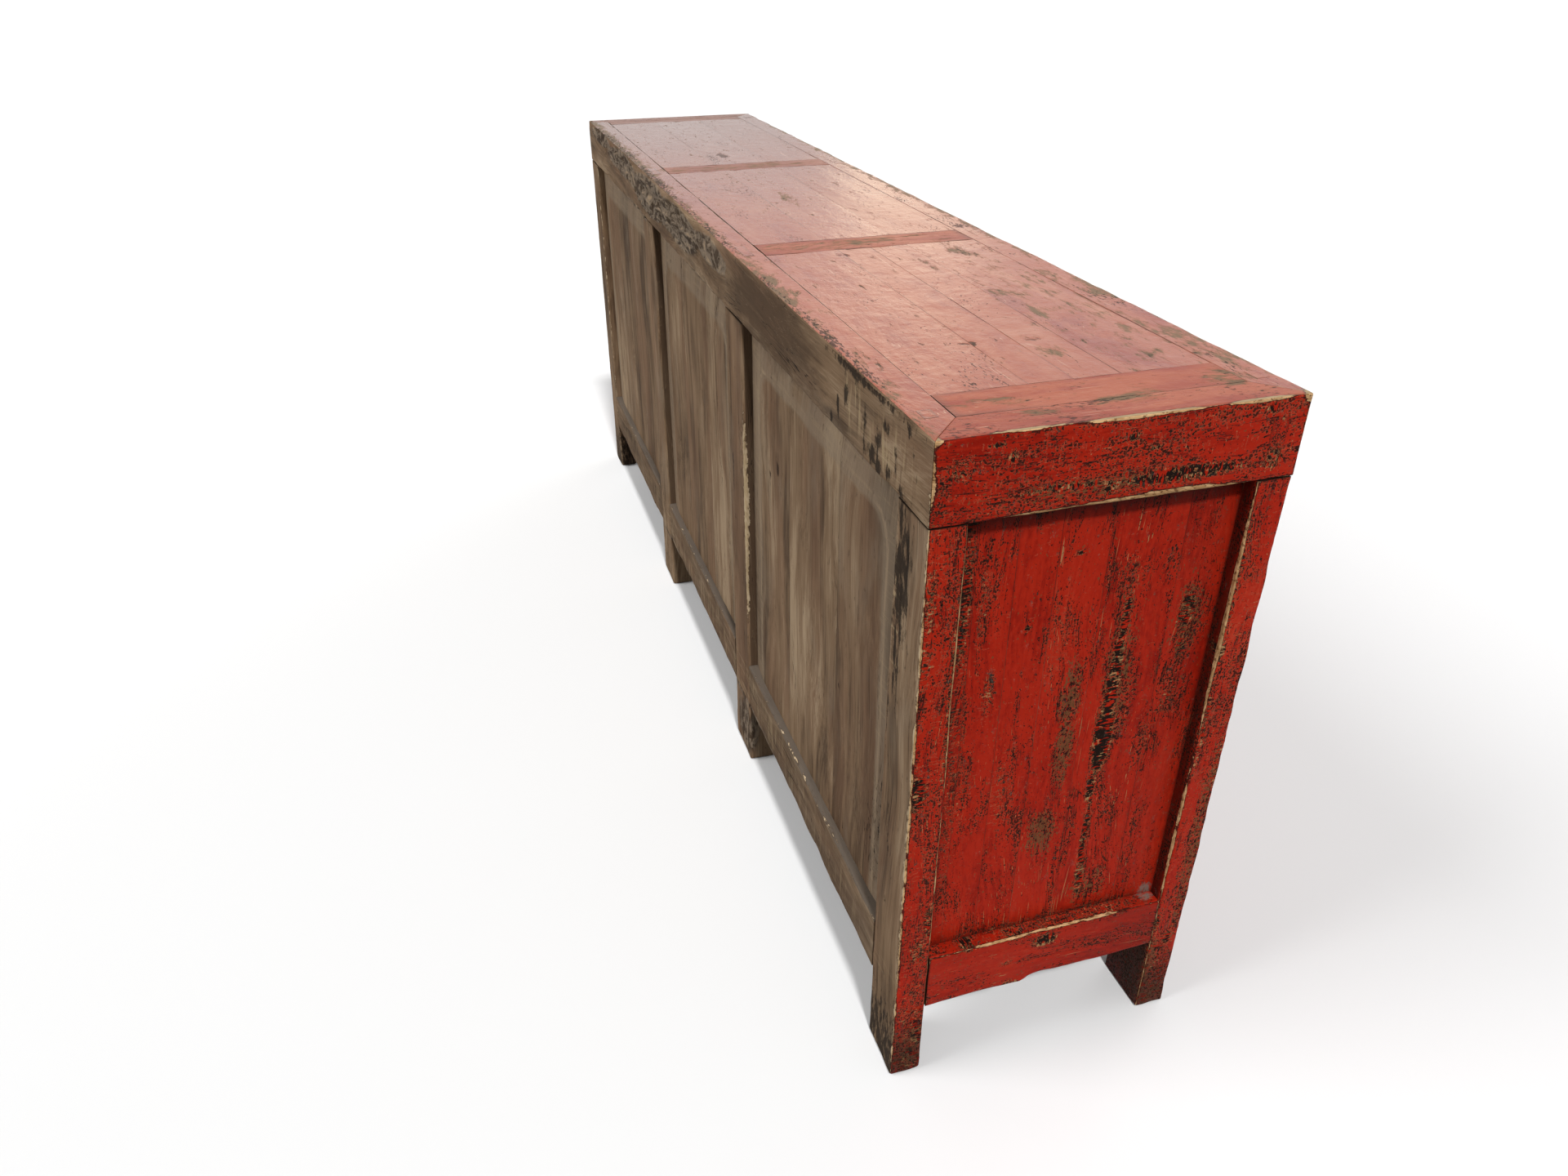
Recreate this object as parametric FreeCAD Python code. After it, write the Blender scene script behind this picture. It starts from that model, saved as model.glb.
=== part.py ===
import FreeCAD, Part
import os

# Lacquered sideboard in millimetres: +X along its length, the front faces -Y, +Z up.
# The origin is on the floor under the middle. Left and right are as seen from the front.

# Overall size
overall_length = 2120.0
overall_depth = 411.0
overall_height = 900.0

# Top frame
top_rail_depth = 92.0
long_rail_width = 43.0
end_rail_width = 48.0
rail_tenon_width = 20.0
rail_tenon_height = 35.0
rail_tenon_inset = 2.0      # from the long rail's inner face
rail_tenon_drop = 23.0      # below the top face
batten_width = 66.0
batten_depth = 50.0
left_strip_width = 61.0
right_strip_width = 35.0
batten_tenon_length = 10.0
batten_tenon_shoulder = 13.0
top_panel_thickness = 18.0
top_board_width = 112.0

# Posts
post_thickness = 43.0
corner_post_width = 80.0
inner_post_width = 93.0
inner_post_spacing = 664.0
post_tenon_thickness = 16.0
post_tenon_inset = 12.0     # from the outer face
inner_tenon_width = 60.0
corner_tenon_width = 22.0
corner_tenon_gap = 4.0      # from the end rail's inner face

# Lower rails and drawer rails
foot_height = 117.0
lower_rail_depth = 90.0
lower_rail_thickness = 40.0
drawer_opening_height = 130.0
drawer_rail_depth = 40.0
drawer_rail_thickness = 43.0
rail_end_tenon_length = 20.0
rail_end_tenon_thickness = 12.0
lower_tenon_shoulder = 15.0
drawer_tenon_shoulder = 8.0

# Back and end panels
panel_thickness = 14.0
back_panel_recess = 16.0    # at the panels' edges
end_panel_recess = 20.0
back_board_width = 204.0
field_rise = 4.0            # of the back panels' raised fields
field_bevel = 48.0          # width of the slope at a field's sides and top
end_board_widths = (23.0, 45.0, 48.0, 59.0, 90.0, 60.0)
tongue_length = 8.0
tongue_thickness = 6.0

# Floor
floor_thickness = 14.0
floor_board_width = 110.0
bearer_width = 40.0
bearer_depth = 45.0
stub_tenon_length = 10.0
stub_tenon_shoulder = 9.0
runner_stub_inset = 4.0     # from the guide's sides

# Drawers and their runners
front_setback = 16.0        # of doors and drawers behind the posts' faces
drawer_back_room = 35.0     # behind a closed drawer, to the back panel
drawer_front_thickness = 20.0
drawer_side_thickness = 12.0
drawer_back_thickness = 12.0
drawer_bottom_thickness = 7.0
drawer_bottom_lift = 6.0
drawer_groove_depth = 5.0
drawer_headroom = 8.0
runner_bearing = 30.0       # width under the drawer's side
runner_depth = 28.0
guide_width = 20.0
guide_height = 20.0

# Doors
door_thickness = 22.0
door_stile_width = 56.0
door_rail_width = 56.0
door_tenon_length = 25.0
door_tenon_shoulder = 12.0
door_tenon_thickness = 8.0
door_panel_thickness = 11.0
door_panel_recess = 5.0
door_tongue_length = 6.0
door_tongue_thickness = 5.0
pivot_radius = 6.0
top_pivot_length = 16.0
bottom_pivot_length = 6.0

# Brass plates and drop rings
plate_thickness = 1.5
door_plate_radius = 46.0
door_plate_margin = 1.0
drawer_plate_radius = 29.0
door_pull_height = 240.0    # above the lower rail
door_pull_inset = 24.0      # from the door's free edge
ring_radius = 14.0
ring_wire_radius = 2.2
ring_drop = 8.0             # pin to the middle of the wire at the ring's top
eye_radius = 4.0
eye_length = 7.0
ear_width = 5.0
ring_pin_radius = 2.0
ring_pin_reach = 6.5        # pin in front of the plate
stem_radius = 2.5
stem_length = 14.0

# Clearances
joint_clearance = 0.2       # at the cheeks of tenons and tongues
end_clearance = 0.5         # past the ends of tenons and tongues
seam = 0.4                  # between boards, and round panels
side_gap = 1.5              # beside doors and drawers
meeting_gap = 2.0           # between the two doors of a bay
door_bottom_gap = 0.5
door_top_gap = 7.0          # lets the door be lifted off its lower pivot
slide_clearance = 0.3       # between a drawer and its runners
pivot_clearance = 0.08
ring_side_gap = 0.4

# Places worked out from the sizes
half_length = overall_length / 2
half_depth = overall_depth / 2
frame_underside = overall_height - top_rail_depth
long_rail_inner = half_depth - long_rail_width
end_rail_inner = half_length - end_rail_width
post_inner = half_depth - post_thickness
corner_inner = half_length - corner_post_width
inner_post_x = inner_post_spacing / 2
inner_post_edge = inner_post_x + inner_post_width / 2
lower_rail_top = foot_height + lower_rail_depth
lower_rail_inner = half_depth - lower_rail_thickness
drawer_rail_top = frame_underside - drawer_opening_height
drawer_rail_underside = drawer_rail_top - drawer_rail_depth
drawer_rail_inner = half_depth - drawer_rail_thickness
front_face = front_setback - half_depth
back_panel_inner = half_depth - back_panel_recess - panel_thickness
drawer_length = back_panel_inner - drawer_back_room - front_face
bays = {
    "left": (-corner_inner, -inner_post_edge),
    "middle": (inner_post_width / 2 - inner_post_x, inner_post_x - inner_post_width / 2),
    "right": (inner_post_edge, corner_inner),
}
ends = {"left": -1, "right": 1}
faces = {"front": -1, "back": 1}

pieces = {}                 # node name to its solids
cuts = {}                   # node name to the shapes cut out of it


# Ranges and basic solids

def span(middle, width):
    return (middle - width / 2, middle + width / 2)


def reach(side, near, far):
    return tuple(sorted((side * near, side * far)))


def grow(limits, amount):
    return (limits[0] - amount, limits[1] + amount)


def block(x, y, z):
    corner = FreeCAD.Vector(x[0], y[0], z[0])
    return Part.makeBox(x[1] - x[0], y[1] - y[0], z[1] - z[0], corner)


def rod(radius, start, direction, length):
    return Part.makeCylinder(radius, length, FreeCAD.Vector(*start), FreeCAD.Vector(*direction))


def upright_prism(outline, z):
    corners = [FreeCAD.Vector(x, y, z[0]) for x, y in outline]
    face = Part.Face(Part.makePolygon(corners + corners[:1]))
    return face.extrude(FreeCAD.Vector(0, 0, z[1] - z[0]))


def add(name, *solids):
    pieces.setdefault(name, []).extend(solids)


def cut_from(name, *shapes):
    cuts.setdefault(name, []).extend(shapes)


def join(first, *others):
    return first.fuse(list(others)).removeSplitter()


def board_edges(limits, widths):
    # Board edges from one limit to the other; the last board takes what is left.
    edges = [limits[0]]
    for width in widths[:-1]:
        if edges[-1] + width < limits[1]:
            edges.append(edges[-1] + width)
    return edges + [limits[1]]


def even_edges(limits, width):
    count = max(1, round((limits[1] - limits[0]) / width))
    step = (limits[1] - limits[0]) / count
    return [limits[0] + step * number for number in range(count + 1)]


# Panels: a core between the frame's edges and a tongue all round, cut into boards

def core_and_tongue(core, thin_axis, length, thickness):
    middle = sum(core[thin_axis]) / 2
    tongue = [grow(limits, length) for limits in core]
    tongue[thin_axis] = span(middle, thickness)
    return tongue


def groove_for(tongue, thin_axis):
    room = [grow(limits, end_clearance) for limits in tongue]
    room[thin_axis] = grow(tongue[thin_axis], joint_clearance)
    return block(*room)


def panel_body(core, tongue, thin_axis):
    field = [grow(limits, -seam) for limits in core]
    field[thin_axis] = core[thin_axis]
    return join(block(*field), block(*tongue))


def boards_of(whole, along, edges):
    # Boards side by side along one axis, with a fine seam between neighbours.
    box = whole.BoundBox
    outside = [(box.XMin, box.XMax), (box.YMin, box.YMax), (box.ZMin, box.ZMax)]
    slab = [grow(limits, seam) for limits in outside]
    limits = [slab[along][0]] + edges[1:-1] + [slab[along][1]]
    boards = []
    for low, high in zip(limits[:-1], limits[1:]):
        slab[along] = (low + seam / 2, high - seam / 2)
        boards.append(whole.common(block(*slab)).Solids[0])
    return boards


# Top frame

def make_top_rails():
    z = (frame_underside, overall_height)
    tenon_top = overall_height - rail_tenon_drop
    tenon_z = (tenon_top - rail_tenon_height, tenon_top)
    tenon_start = long_rail_inner + rail_tenon_inset
    for end, x_side in ends.items():
        plan = [
            (x_side * end_rail_inner, -long_rail_inner),
            (x_side * end_rail_inner, long_rail_inner),
            (x_side * half_length, half_depth),
            (x_side * half_length, -half_depth),
        ]
        add(f"top_{end}_end_rail", upright_prism(plan, z))
    for face, y_side in faces.items():
        plan = [
            (-end_rail_inner, y_side * long_rail_inner),
            (end_rail_inner, y_side * long_rail_inner),
            (half_length, y_side * half_depth),
            (-half_length, y_side * half_depth),
        ]
        rail = upright_prism(plan, z)
        tenon_y = reach(y_side, tenon_start, tenon_start + rail_tenon_width)
        rail = join(rail, block((-half_length, half_length), tenon_y, tenon_z))
        mortise = block(
            grow((-half_length, half_length), end_clearance),
            grow(tenon_y, joint_clearance),
            grow(tenon_z, joint_clearance),
        )
        add(f"top_{face}_rail", rail)
        for end in ends:
            cut_from(f"top_{end}_end_rail", mortise)


def make_cross_member(name, x):
    # A batten or strip across the top, tenoned into both long rails.
    y = (-long_rail_inner, long_rail_inner)
    z = (overall_height - batten_depth, overall_height)
    tenon_x = grow(x, -batten_tenon_shoulder)
    tenon_y = grow(y, batten_tenon_length)
    tenon_z = grow(z, -batten_tenon_shoulder)
    add(name, join(block(x, y, z), block(tenon_x, tenon_y, tenon_z)))
    mortise = block(
        grow(tenon_x, joint_clearance),
        grow(tenon_y, end_clearance),
        grow(tenon_z, joint_clearance),
    )
    for face in faces:
        cut_from(f"top_{face}_rail", mortise)


def make_top_panel(name, x, neighbours):
    y = (-long_rail_inner, long_rail_inner)
    z = (overall_height - top_panel_thickness, overall_height)
    core = [x, y, z]
    tongue = core_and_tongue(core, 2, tongue_length, tongue_thickness)
    add(name, *boards_of(panel_body(core, tongue, 2), 1, even_edges(y, top_board_width)))
    for neighbour in neighbours + ["top_front_rail", "top_back_rail"]:
        cut_from(neighbour, groove_for(tongue, 2))


def make_top():
    make_top_rails()
    left_strip_inner = left_strip_width - end_rail_inner
    right_strip_inner = end_rail_inner - right_strip_width
    left_batten = span(-inner_post_x, batten_width)
    right_batten = span(inner_post_x, batten_width)
    make_cross_member("top_end_strips", (-end_rail_inner, left_strip_inner))
    make_cross_member("top_end_strips", (right_strip_inner, end_rail_inner))
    make_cross_member("top_left_batten", left_batten)
    make_cross_member("top_right_batten", right_batten)
    left_panel = (left_strip_inner, left_batten[0])
    right_panel = (right_batten[1], right_strip_inner)
    make_top_panel("top_left_panel", left_panel, ["top_end_strips", "top_left_batten"])
    make_top_panel(
        "top_middle_panel",
        (left_batten[1], right_batten[0]),
        ["top_left_batten", "top_right_batten"],
    )
    make_top_panel("top_right_panel", right_panel, ["top_right_batten", "top_end_strips"])


# Posts, each with a tenon that comes through the top of its long rail

def make_post(name, rail, x, y_side, tenon_x):
    y = reach(y_side, post_inner, half_depth)
    outer = half_depth - post_tenon_inset
    tenon_y = reach(y_side, outer - post_tenon_thickness, outer)
    post = block(x, y, (0, frame_underside))
    tenon = block(tenon_x, tenon_y, (frame_underside, overall_height))
    add(name, join(post, tenon))
    mortise = block(
        grow(tenon_x, joint_clearance),
        grow(tenon_y, joint_clearance),
        grow((frame_underside, overall_height), end_clearance),
    )
    cut_from(rail, mortise)


def make_posts():
    corner_tenon_outer = end_rail_inner - corner_tenon_gap
    for face, y_side in faces.items():
        rail = f"top_{face}_rail"
        for end, x_side in ends.items():
            corner_x = reach(x_side, corner_inner, half_length)
            corner_tenon = reach(x_side, corner_tenon_outer - corner_tenon_width, corner_tenon_outer)
            make_post(f"{face}_{end}_corner_post", rail, corner_x, y_side, corner_tenon)
            inner_x = span(x_side * inner_post_x, inner_post_width)
            inner_tenon = span(x_side * inner_post_x, inner_tenon_width)
            make_post(f"{face}_{end}_inner_post", rail, inner_x, y_side, inner_tenon)


def posts_beside(face, bay):
    # The two posts that stand at the left and right of a bay.
    left_kind = {"left": "left_corner", "middle": "left_inner", "right": "right_inner"}[bay]
    right_kind = {"left": "left_inner", "middle": "right_inner", "right": "right_corner"}[bay]
    return [f"{face}_{left_kind}_post", f"{face}_{right_kind}_post"]


# Rails between the posts

def make_bay_rail(name, face, bay, y, z, shoulder):
    x = bays[bay]
    tenon_x = grow(x, rail_end_tenon_length)
    tenon_y = span(sum(y) / 2, rail_end_tenon_thickness)
    tenon_z = grow(z, -shoulder)
    add(name, join(block(x, y, z), block(tenon_x, tenon_y, tenon_z)))
    mortise = block(
        grow(tenon_x, end_clearance),
        grow(tenon_y, joint_clearance),
        grow(tenon_z, joint_clearance),
    )
    for post in posts_beside(face, bay):
        cut_from(post, mortise)


def make_end_rail(end, x_side):
    x = reach(x_side, half_length - lower_rail_thickness, half_length)
    y = (-post_inner, post_inner)
    z = (foot_height, lower_rail_top)
    tenon_x = span(sum(x) / 2, rail_end_tenon_thickness)
    tenon_y = grow(y, rail_end_tenon_length)
    tenon_z = grow(z, -lower_tenon_shoulder)
    add(f"lower_{end}_end_rail", join(block(x, y, z), block(tenon_x, tenon_y, tenon_z)))
    mortise = block(
        grow(tenon_x, joint_clearance),
        grow(tenon_y, end_clearance),
        grow(tenon_z, joint_clearance),
    )
    for face in faces:
        cut_from(f"{face}_{end}_corner_post", mortise)


def make_rails():
    lower_z = (foot_height, lower_rail_top)
    back_y = (lower_rail_inner, half_depth)
    front_y = (-half_depth, -lower_rail_inner)
    drawer_y = (-half_depth, -drawer_rail_inner)
    drawer_z = (drawer_rail_underside, drawer_rail_top)
    for bay in bays:
        make_bay_rail(f"lower_back_{bay}_rail", "back", bay, back_y, lower_z, lower_tenon_shoulder)
        make_bay_rail("lower_front_rails", "front", bay, front_y, lower_z, lower_tenon_shoulder)
        make_bay_rail("drawer_rails", "front", bay, drawer_y, drawer_z, drawer_tenon_shoulder)
    for end, x_side in ends.items():
        make_end_rail(end, x_side)


# Back and end panels

def raised_field(x, y, z):
    # Full size at the panel's face, sloping in to the field at both sides and the top.
    field_x = grow(x, -field_bevel)
    field_z = (z[0], z[1] - field_bevel)
    return Part.makeWedge(x[0], y[0], z[0], field_z[0], field_x[0], x[1], y[1], z[1], field_z[1], field_x[1])


def make_back_panel(bay):
    outer = back_panel_inner + panel_thickness
    core = [bays[bay], (back_panel_inner, outer), (lower_rail_top, frame_underside)]
    tongue = core_and_tongue(core, 1, tongue_length, tongue_thickness)
    field = raised_field(grow(core[0], -seam), (outer, outer + field_rise), grow(core[2], -seam))
    whole = join(panel_body(core, tongue, 1), field)
    add(f"back_{bay}_panel", *boards_of(whole, 0, even_edges(core[0], back_board_width)))
    frame = posts_beside("back", bay) + ["top_back_rail", f"lower_back_{bay}_rail"]
    for name in frame:
        cut_from(name, groove_for(tongue, 1))


def make_end_panel(end, x_side):
    outer = half_length - end_panel_recess
    x = reach(x_side, outer - panel_thickness, outer)
    core = [x, (-post_inner, post_inner), (lower_rail_top, frame_underside)]
    tongue = core_and_tongue(core, 0, tongue_length, tongue_thickness)
    from_back = board_edges(core[1], end_board_widths)
    edges = [-edge for edge in reversed(from_back)]
    add(f"{end}_end_panel", *boards_of(panel_body(core, tongue, 0), 1, edges))
    frame = [f"{face}_{end}_corner_post" for face in faces]
    frame += [f"top_{end}_end_rail", f"lower_{end}_end_rail"]
    for name in frame:
        cut_from(name, groove_for(tongue, 0))


# Floor boards on cross bearers

def make_bearer(x, inner, holders):
    y = (-inner, inner)
    top = lower_rail_top - floor_thickness
    z = (top - bearer_depth, top)
    stub_x = grow(x, -stub_tenon_shoulder)
    stub_y = grow(y, stub_tenon_length)
    stub_z = grow(z, -stub_tenon_shoulder)
    add("floor_bearers", join(block(x, y, z), block(stub_x, stub_y, stub_z)))
    mortise = block(
        grow(stub_x, joint_clearance),
        grow(stub_y, end_clearance),
        grow(stub_z, joint_clearance),
    )
    for holder in holders:
        cut_from(holder, mortise)


def make_floor():
    end_inner = half_length - lower_rail_thickness
    floor_half = half_depth - max(post_thickness, lower_rail_thickness)
    z = (lower_rail_top - floor_thickness, lower_rail_top)
    for end, x_side in ends.items():
        corner_x = reach(x_side, end_inner - bearer_width, end_inner)
        make_bearer(corner_x, post_inner, [f"{face}_{end}_corner_post" for face in faces])
        inner_x = span(x_side * inner_post_x, bearer_width)
        make_bearer(inner_x, post_inner, [f"{face}_{end}_inner_post" for face in faces])
    for bay, x in bays.items():
        middle_x = span(sum(x) / 2, bearer_width)
        make_bearer(middle_x, lower_rail_inner, ["lower_front_rails", f"lower_back_{bay}_rail"])
    lengths = [(-end_inner, -inner_post_x), (-inner_post_x, inner_post_x), (inner_post_x, end_inner)]
    edges = even_edges((-floor_half, floor_half), floor_board_width)
    for x in lengths:
        for low, high in zip(edges[:-1], edges[1:]):
            board_y = (low + seam / 2, high - seam / 2)
            add("floor_boards", block(grow(x, -seam / 2), board_y, z))


# Drawer runners with a guide strip on top, held between the front and back posts

def make_runner(face_side, edge, posts):
    x = reach(1, edge - face_side * guide_width, edge + face_side * runner_bearing)
    guide_x = reach(1, edge - face_side * guide_width, edge)
    y = (max(post_thickness, drawer_rail_thickness) - half_depth, post_inner)
    z = (drawer_rail_top - runner_depth, drawer_rail_top)
    stub_x = grow(guide_x, -runner_stub_inset)
    stub_y = grow((-post_inner, post_inner), stub_tenon_length)
    stub_z = grow(z, -stub_tenon_shoulder)
    runner = join(block(x, y, z), block(stub_x, stub_y, stub_z))
    guide = block(guide_x, y, (drawer_rail_top, drawer_rail_top + guide_height))
    add("drawer_runners", runner, guide)
    mortise = block(
        grow(stub_x, joint_clearance),
        grow(stub_y, end_clearance),
        grow(stub_z, joint_clearance),
    )
    for post in posts:
        cut_from(post, mortise)


def make_runners():
    for bay, x in bays.items():
        left_posts = [posts_beside(face, bay)[0] for face in faces]
        right_posts = [posts_beside(face, bay)[1] for face in faces]
        make_runner(1, x[0], left_posts)
        make_runner(-1, x[1], right_posts)


# Brass pulls: a plate with two ears, a pin and a stem, and the ring that swings on the pin

def make_pull(name, holder, plate, x, z):
    plate_face = front_face - plate_thickness
    pin_y = plate_face - ring_pin_reach
    pin_room = eye_length / 2 + ring_side_gap
    ear_outer = pin_room + ear_width
    stem = rod(stem_radius, (x, front_face, z), (0, 1, 0), stem_length)
    pin = rod(ring_pin_radius, (x - ear_outer, pin_y, z), (1, 0, 0), 2 * ear_outer)
    fixed = [stem, pin]
    for start in (x - ear_outer, x + pin_room):
        fixed.append(rod(eye_radius, (start, pin_y, z), (1, 0, 0), ear_width))
        fixed.append(block((start, start + ear_width), (pin_y, front_face), span(z, 2 * eye_radius)))
    add(f"{name}_plate", join(plate, *fixed))
    stem_bore = rod(stem_radius + joint_clearance, (x, front_face, z), (0, 1, 0), stem_length + end_clearance)
    cut_from(holder, stem_bore)

    ring_middle = FreeCAD.Vector(x, pin_y, z - ring_drop - ring_radius)
    wire = Part.makeTorus(ring_radius, ring_wire_radius, ring_middle, FreeCAD.Vector(0, 1, 0))
    eye = rod(eye_radius, (x - eye_length / 2, pin_y, z), (1, 0, 0), eye_length)
    neck = rod(ring_wire_radius, (x, pin_y, z), (0, 0, -1), ring_drop)
    bore_radius = ring_pin_radius + pivot_clearance
    bore = rod(bore_radius, (x - eye_length, pin_y, z), (1, 0, 0), 2 * eye_length)
    add(f"{name}_ring", eye.fuse([neck, wire]).cut(bore).Solids[0])


# Drawers: a front, two sides, a back and a bottom held in grooves

def make_drawer(bay):
    name = f"{bay}_drawer"
    x = grow(bays[bay], -side_gap)
    front_y = (front_face, front_face + drawer_front_thickness)
    front_z = grow((drawer_rail_top, frame_underside), -side_gap)
    side_y = (front_y[1], front_face + drawer_length)
    side_z = (drawer_rail_top + slide_clearance, frame_underside - drawer_headroom)
    inner_x = grow(x, -drawer_side_thickness)
    bottom_low = side_z[0] + drawer_bottom_lift
    bottom_z = (bottom_low, bottom_low + drawer_bottom_thickness)
    bottom_x = grow(inner_x, drawer_groove_depth)
    bottom_y = (front_y[1] - drawer_groove_depth, side_y[1])
    groove = block(
        grow(bottom_x, joint_clearance),
        grow(bottom_y, joint_clearance),
        grow(bottom_z, joint_clearance),
    )
    back_y = (side_y[1] - drawer_back_thickness, side_y[1])
    back = block(inner_x, back_y, (bottom_z[1], side_z[1]))
    add(name, block(x, front_y, front_z).cut(groove))
    add(name, block((x[0], inner_x[0]), side_y, side_z).cut(groove))
    add(name, block((inner_x[1], x[1]), side_y, side_z).cut(groove))
    add(name, back, block(bottom_x, bottom_y, bottom_z))

    pull_x = sum(x) / 2
    pull_z = sum(front_z) / 2
    middle = (pull_x, front_face - plate_thickness, pull_z)
    plate = rod(drawer_plate_radius, middle, (0, 1, 0), plate_thickness)
    make_pull(name, name, plate, pull_x, pull_z)


# Doors: a round-edged hinge stile with a pivot at each end, a free stile, two rails and a panel

def make_hinge_stile(side, hinge_x, y, z):
    axis_y = sum(y) / 2
    edge_radius = door_thickness / 2
    stile_x = reach(1, hinge_x, hinge_x + side * (door_stile_width - edge_radius))
    round_edge = rod(edge_radius, (hinge_x, axis_y, z[0]), (0, 0, 1), z[1] - z[0])
    low_pivot = rod(pivot_radius, (hinge_x, axis_y, z[0]), (0, 0, -1), bottom_pivot_length)
    top_pivot = rod(pivot_radius, (hinge_x, axis_y, z[1]), (0, 0, 1), top_pivot_length)
    hole = pivot_radius + pivot_clearance
    low_end = z[0] - bottom_pivot_length - slide_clearance
    low_hole = rod(hole, (hinge_x, axis_y, low_end), (0, 0, 1), z[0] - low_end)
    lift_room = top_pivot_length + door_top_gap
    top_hole = rod(hole, (hinge_x, axis_y, z[1]), (0, 0, 1), lift_room)
    cut_from("lower_front_rails", low_hole)
    cut_from("drawer_rails", top_hole)
    return join(block(stile_x, y, z), round_edge, low_pivot, top_pivot)


def make_door(bay, hand, side):
    # side is +1 for the left door, whose leaf runs from its hinge towards +X
    name = f"{bay}_bay_{hand}_door"
    opening = bays[bay]
    y = (front_face, front_face + door_thickness)
    z = (lower_rail_top + door_bottom_gap, drawer_rail_underside - door_top_gap)
    hinge_edge = opening[0] + side_gap if side > 0 else opening[1] - side_gap
    free_edge = sum(opening) / 2 - side * meeting_gap / 2
    hinge_x = hinge_edge + side * door_thickness / 2
    inner_x = reach(1, hinge_edge + side * door_stile_width, free_edge - side * door_stile_width)
    inner_z = grow(z, -door_rail_width)
    middle_y = sum(y) / 2

    panel_y = (front_face + door_panel_recess, front_face + door_panel_recess + door_panel_thickness)
    core = [inner_x, panel_y, inner_z]
    tongue = core_and_tongue(core, 1, door_tongue_length, door_tongue_thickness)
    field = [grow(inner_x, -seam), panel_y, grow(inner_z, -seam)]
    panel = join(block(*field), block(*tongue))
    groove = groove_for(tongue, 1)

    stiles = [
        make_hinge_stile(side, hinge_x, y, z).cut(groove),
        block(reach(1, free_edge - side * door_stile_width, free_edge), y, z).cut(groove),
    ]
    rails = []
    for rail_z in ((z[0], inner_z[0]), (inner_z[1], z[1])):
        tenon_x = grow(inner_x, door_tenon_length)
        tenon_y = span(middle_y, door_tenon_thickness)
        tenon_z = grow(rail_z, -door_tenon_shoulder)
        tenon = block(tenon_x, tenon_y, tenon_z)
        mortise = block(
            grow(tenon_x, end_clearance),
            grow(tenon_y, joint_clearance),
            grow(tenon_z, joint_clearance),
        )
        rails.append(join(block(inner_x, y, rail_z), tenon).cut(groove))
        stiles = [stile.cut(mortise) for stile in stiles]
    add(name, *stiles, *rails, panel)

    pull_x = free_edge - side * door_pull_inset
    pull_z = lower_rail_top + door_pull_height
    disc_middle = (sum(opening) / 2, front_face - plate_thickness, pull_z)
    disc = rod(door_plate_radius, disc_middle, (0, 1, 0), plate_thickness)
    plate_edge = free_edge - side * door_plate_margin
    half = block(
        reach(1, plate_edge, plate_edge - side * door_plate_radius),
        (front_face - plate_thickness, front_face),
        span(pull_z, 2 * door_plate_radius),
    )
    make_pull(name, name, disc.common(half), pull_x, pull_z)


# Build every piece, cut its joints and write it

def finished(name):
    solids = pieces[name]
    tools = cuts.get(name, [])
    if tools:
        solids = [solid.cut(tools) for solid in solids]
    return [part for solid in solids for part in solid.Solids]


make_top()
make_posts()
make_rails()
for bay_name in bays:
    make_back_panel(bay_name)
for end_name, end_side in ends.items():
    make_end_panel(end_name, end_side)
make_floor()
make_runners()
for bay_name in bays:
    make_drawer(bay_name)
    make_door(bay_name, "left", 1)
    make_door(bay_name, "right", -1)

os.makedirs("parts", exist_ok=True)
for piece_name in pieces:
    solids = finished(piece_name)
    shape = solids[0] if len(solids) == 1 else Part.makeCompound(solids)
    shape.exportStep(f"parts/{piece_name}.step")
    print(piece_name, len(solids), "solids", round(shape.Volume / 1000), "cm3", shape.isValid())
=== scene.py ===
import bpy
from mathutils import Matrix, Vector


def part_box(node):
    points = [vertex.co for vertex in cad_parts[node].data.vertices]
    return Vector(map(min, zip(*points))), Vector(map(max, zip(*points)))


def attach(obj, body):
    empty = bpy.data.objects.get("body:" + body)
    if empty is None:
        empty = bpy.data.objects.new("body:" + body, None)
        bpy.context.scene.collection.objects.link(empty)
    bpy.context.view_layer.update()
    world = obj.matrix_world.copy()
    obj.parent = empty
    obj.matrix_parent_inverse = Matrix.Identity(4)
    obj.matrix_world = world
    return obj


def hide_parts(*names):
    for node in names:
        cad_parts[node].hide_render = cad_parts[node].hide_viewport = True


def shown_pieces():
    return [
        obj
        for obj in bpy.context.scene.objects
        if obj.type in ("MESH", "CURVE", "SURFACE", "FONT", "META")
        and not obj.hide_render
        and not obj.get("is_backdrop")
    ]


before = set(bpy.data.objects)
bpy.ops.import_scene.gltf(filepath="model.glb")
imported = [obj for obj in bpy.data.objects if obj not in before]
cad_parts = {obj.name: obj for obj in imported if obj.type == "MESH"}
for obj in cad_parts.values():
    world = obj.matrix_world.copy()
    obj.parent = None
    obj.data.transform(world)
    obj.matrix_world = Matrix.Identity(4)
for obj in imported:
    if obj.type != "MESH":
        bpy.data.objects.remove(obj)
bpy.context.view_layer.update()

from types import SimpleNamespace

import bpy
import numpy as np
from mathutils import Matrix

# Old lacquered sideboard in metres: +X along its length, the front faces -Y, +Z up.
# The carcass is red on its ends and front, faded on top and bare wood at the back.

nodeBox = {name: [np.array(corner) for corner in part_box(name)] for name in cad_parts}
print("frame loaded:", len(nodeBox), "nodes")

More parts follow.
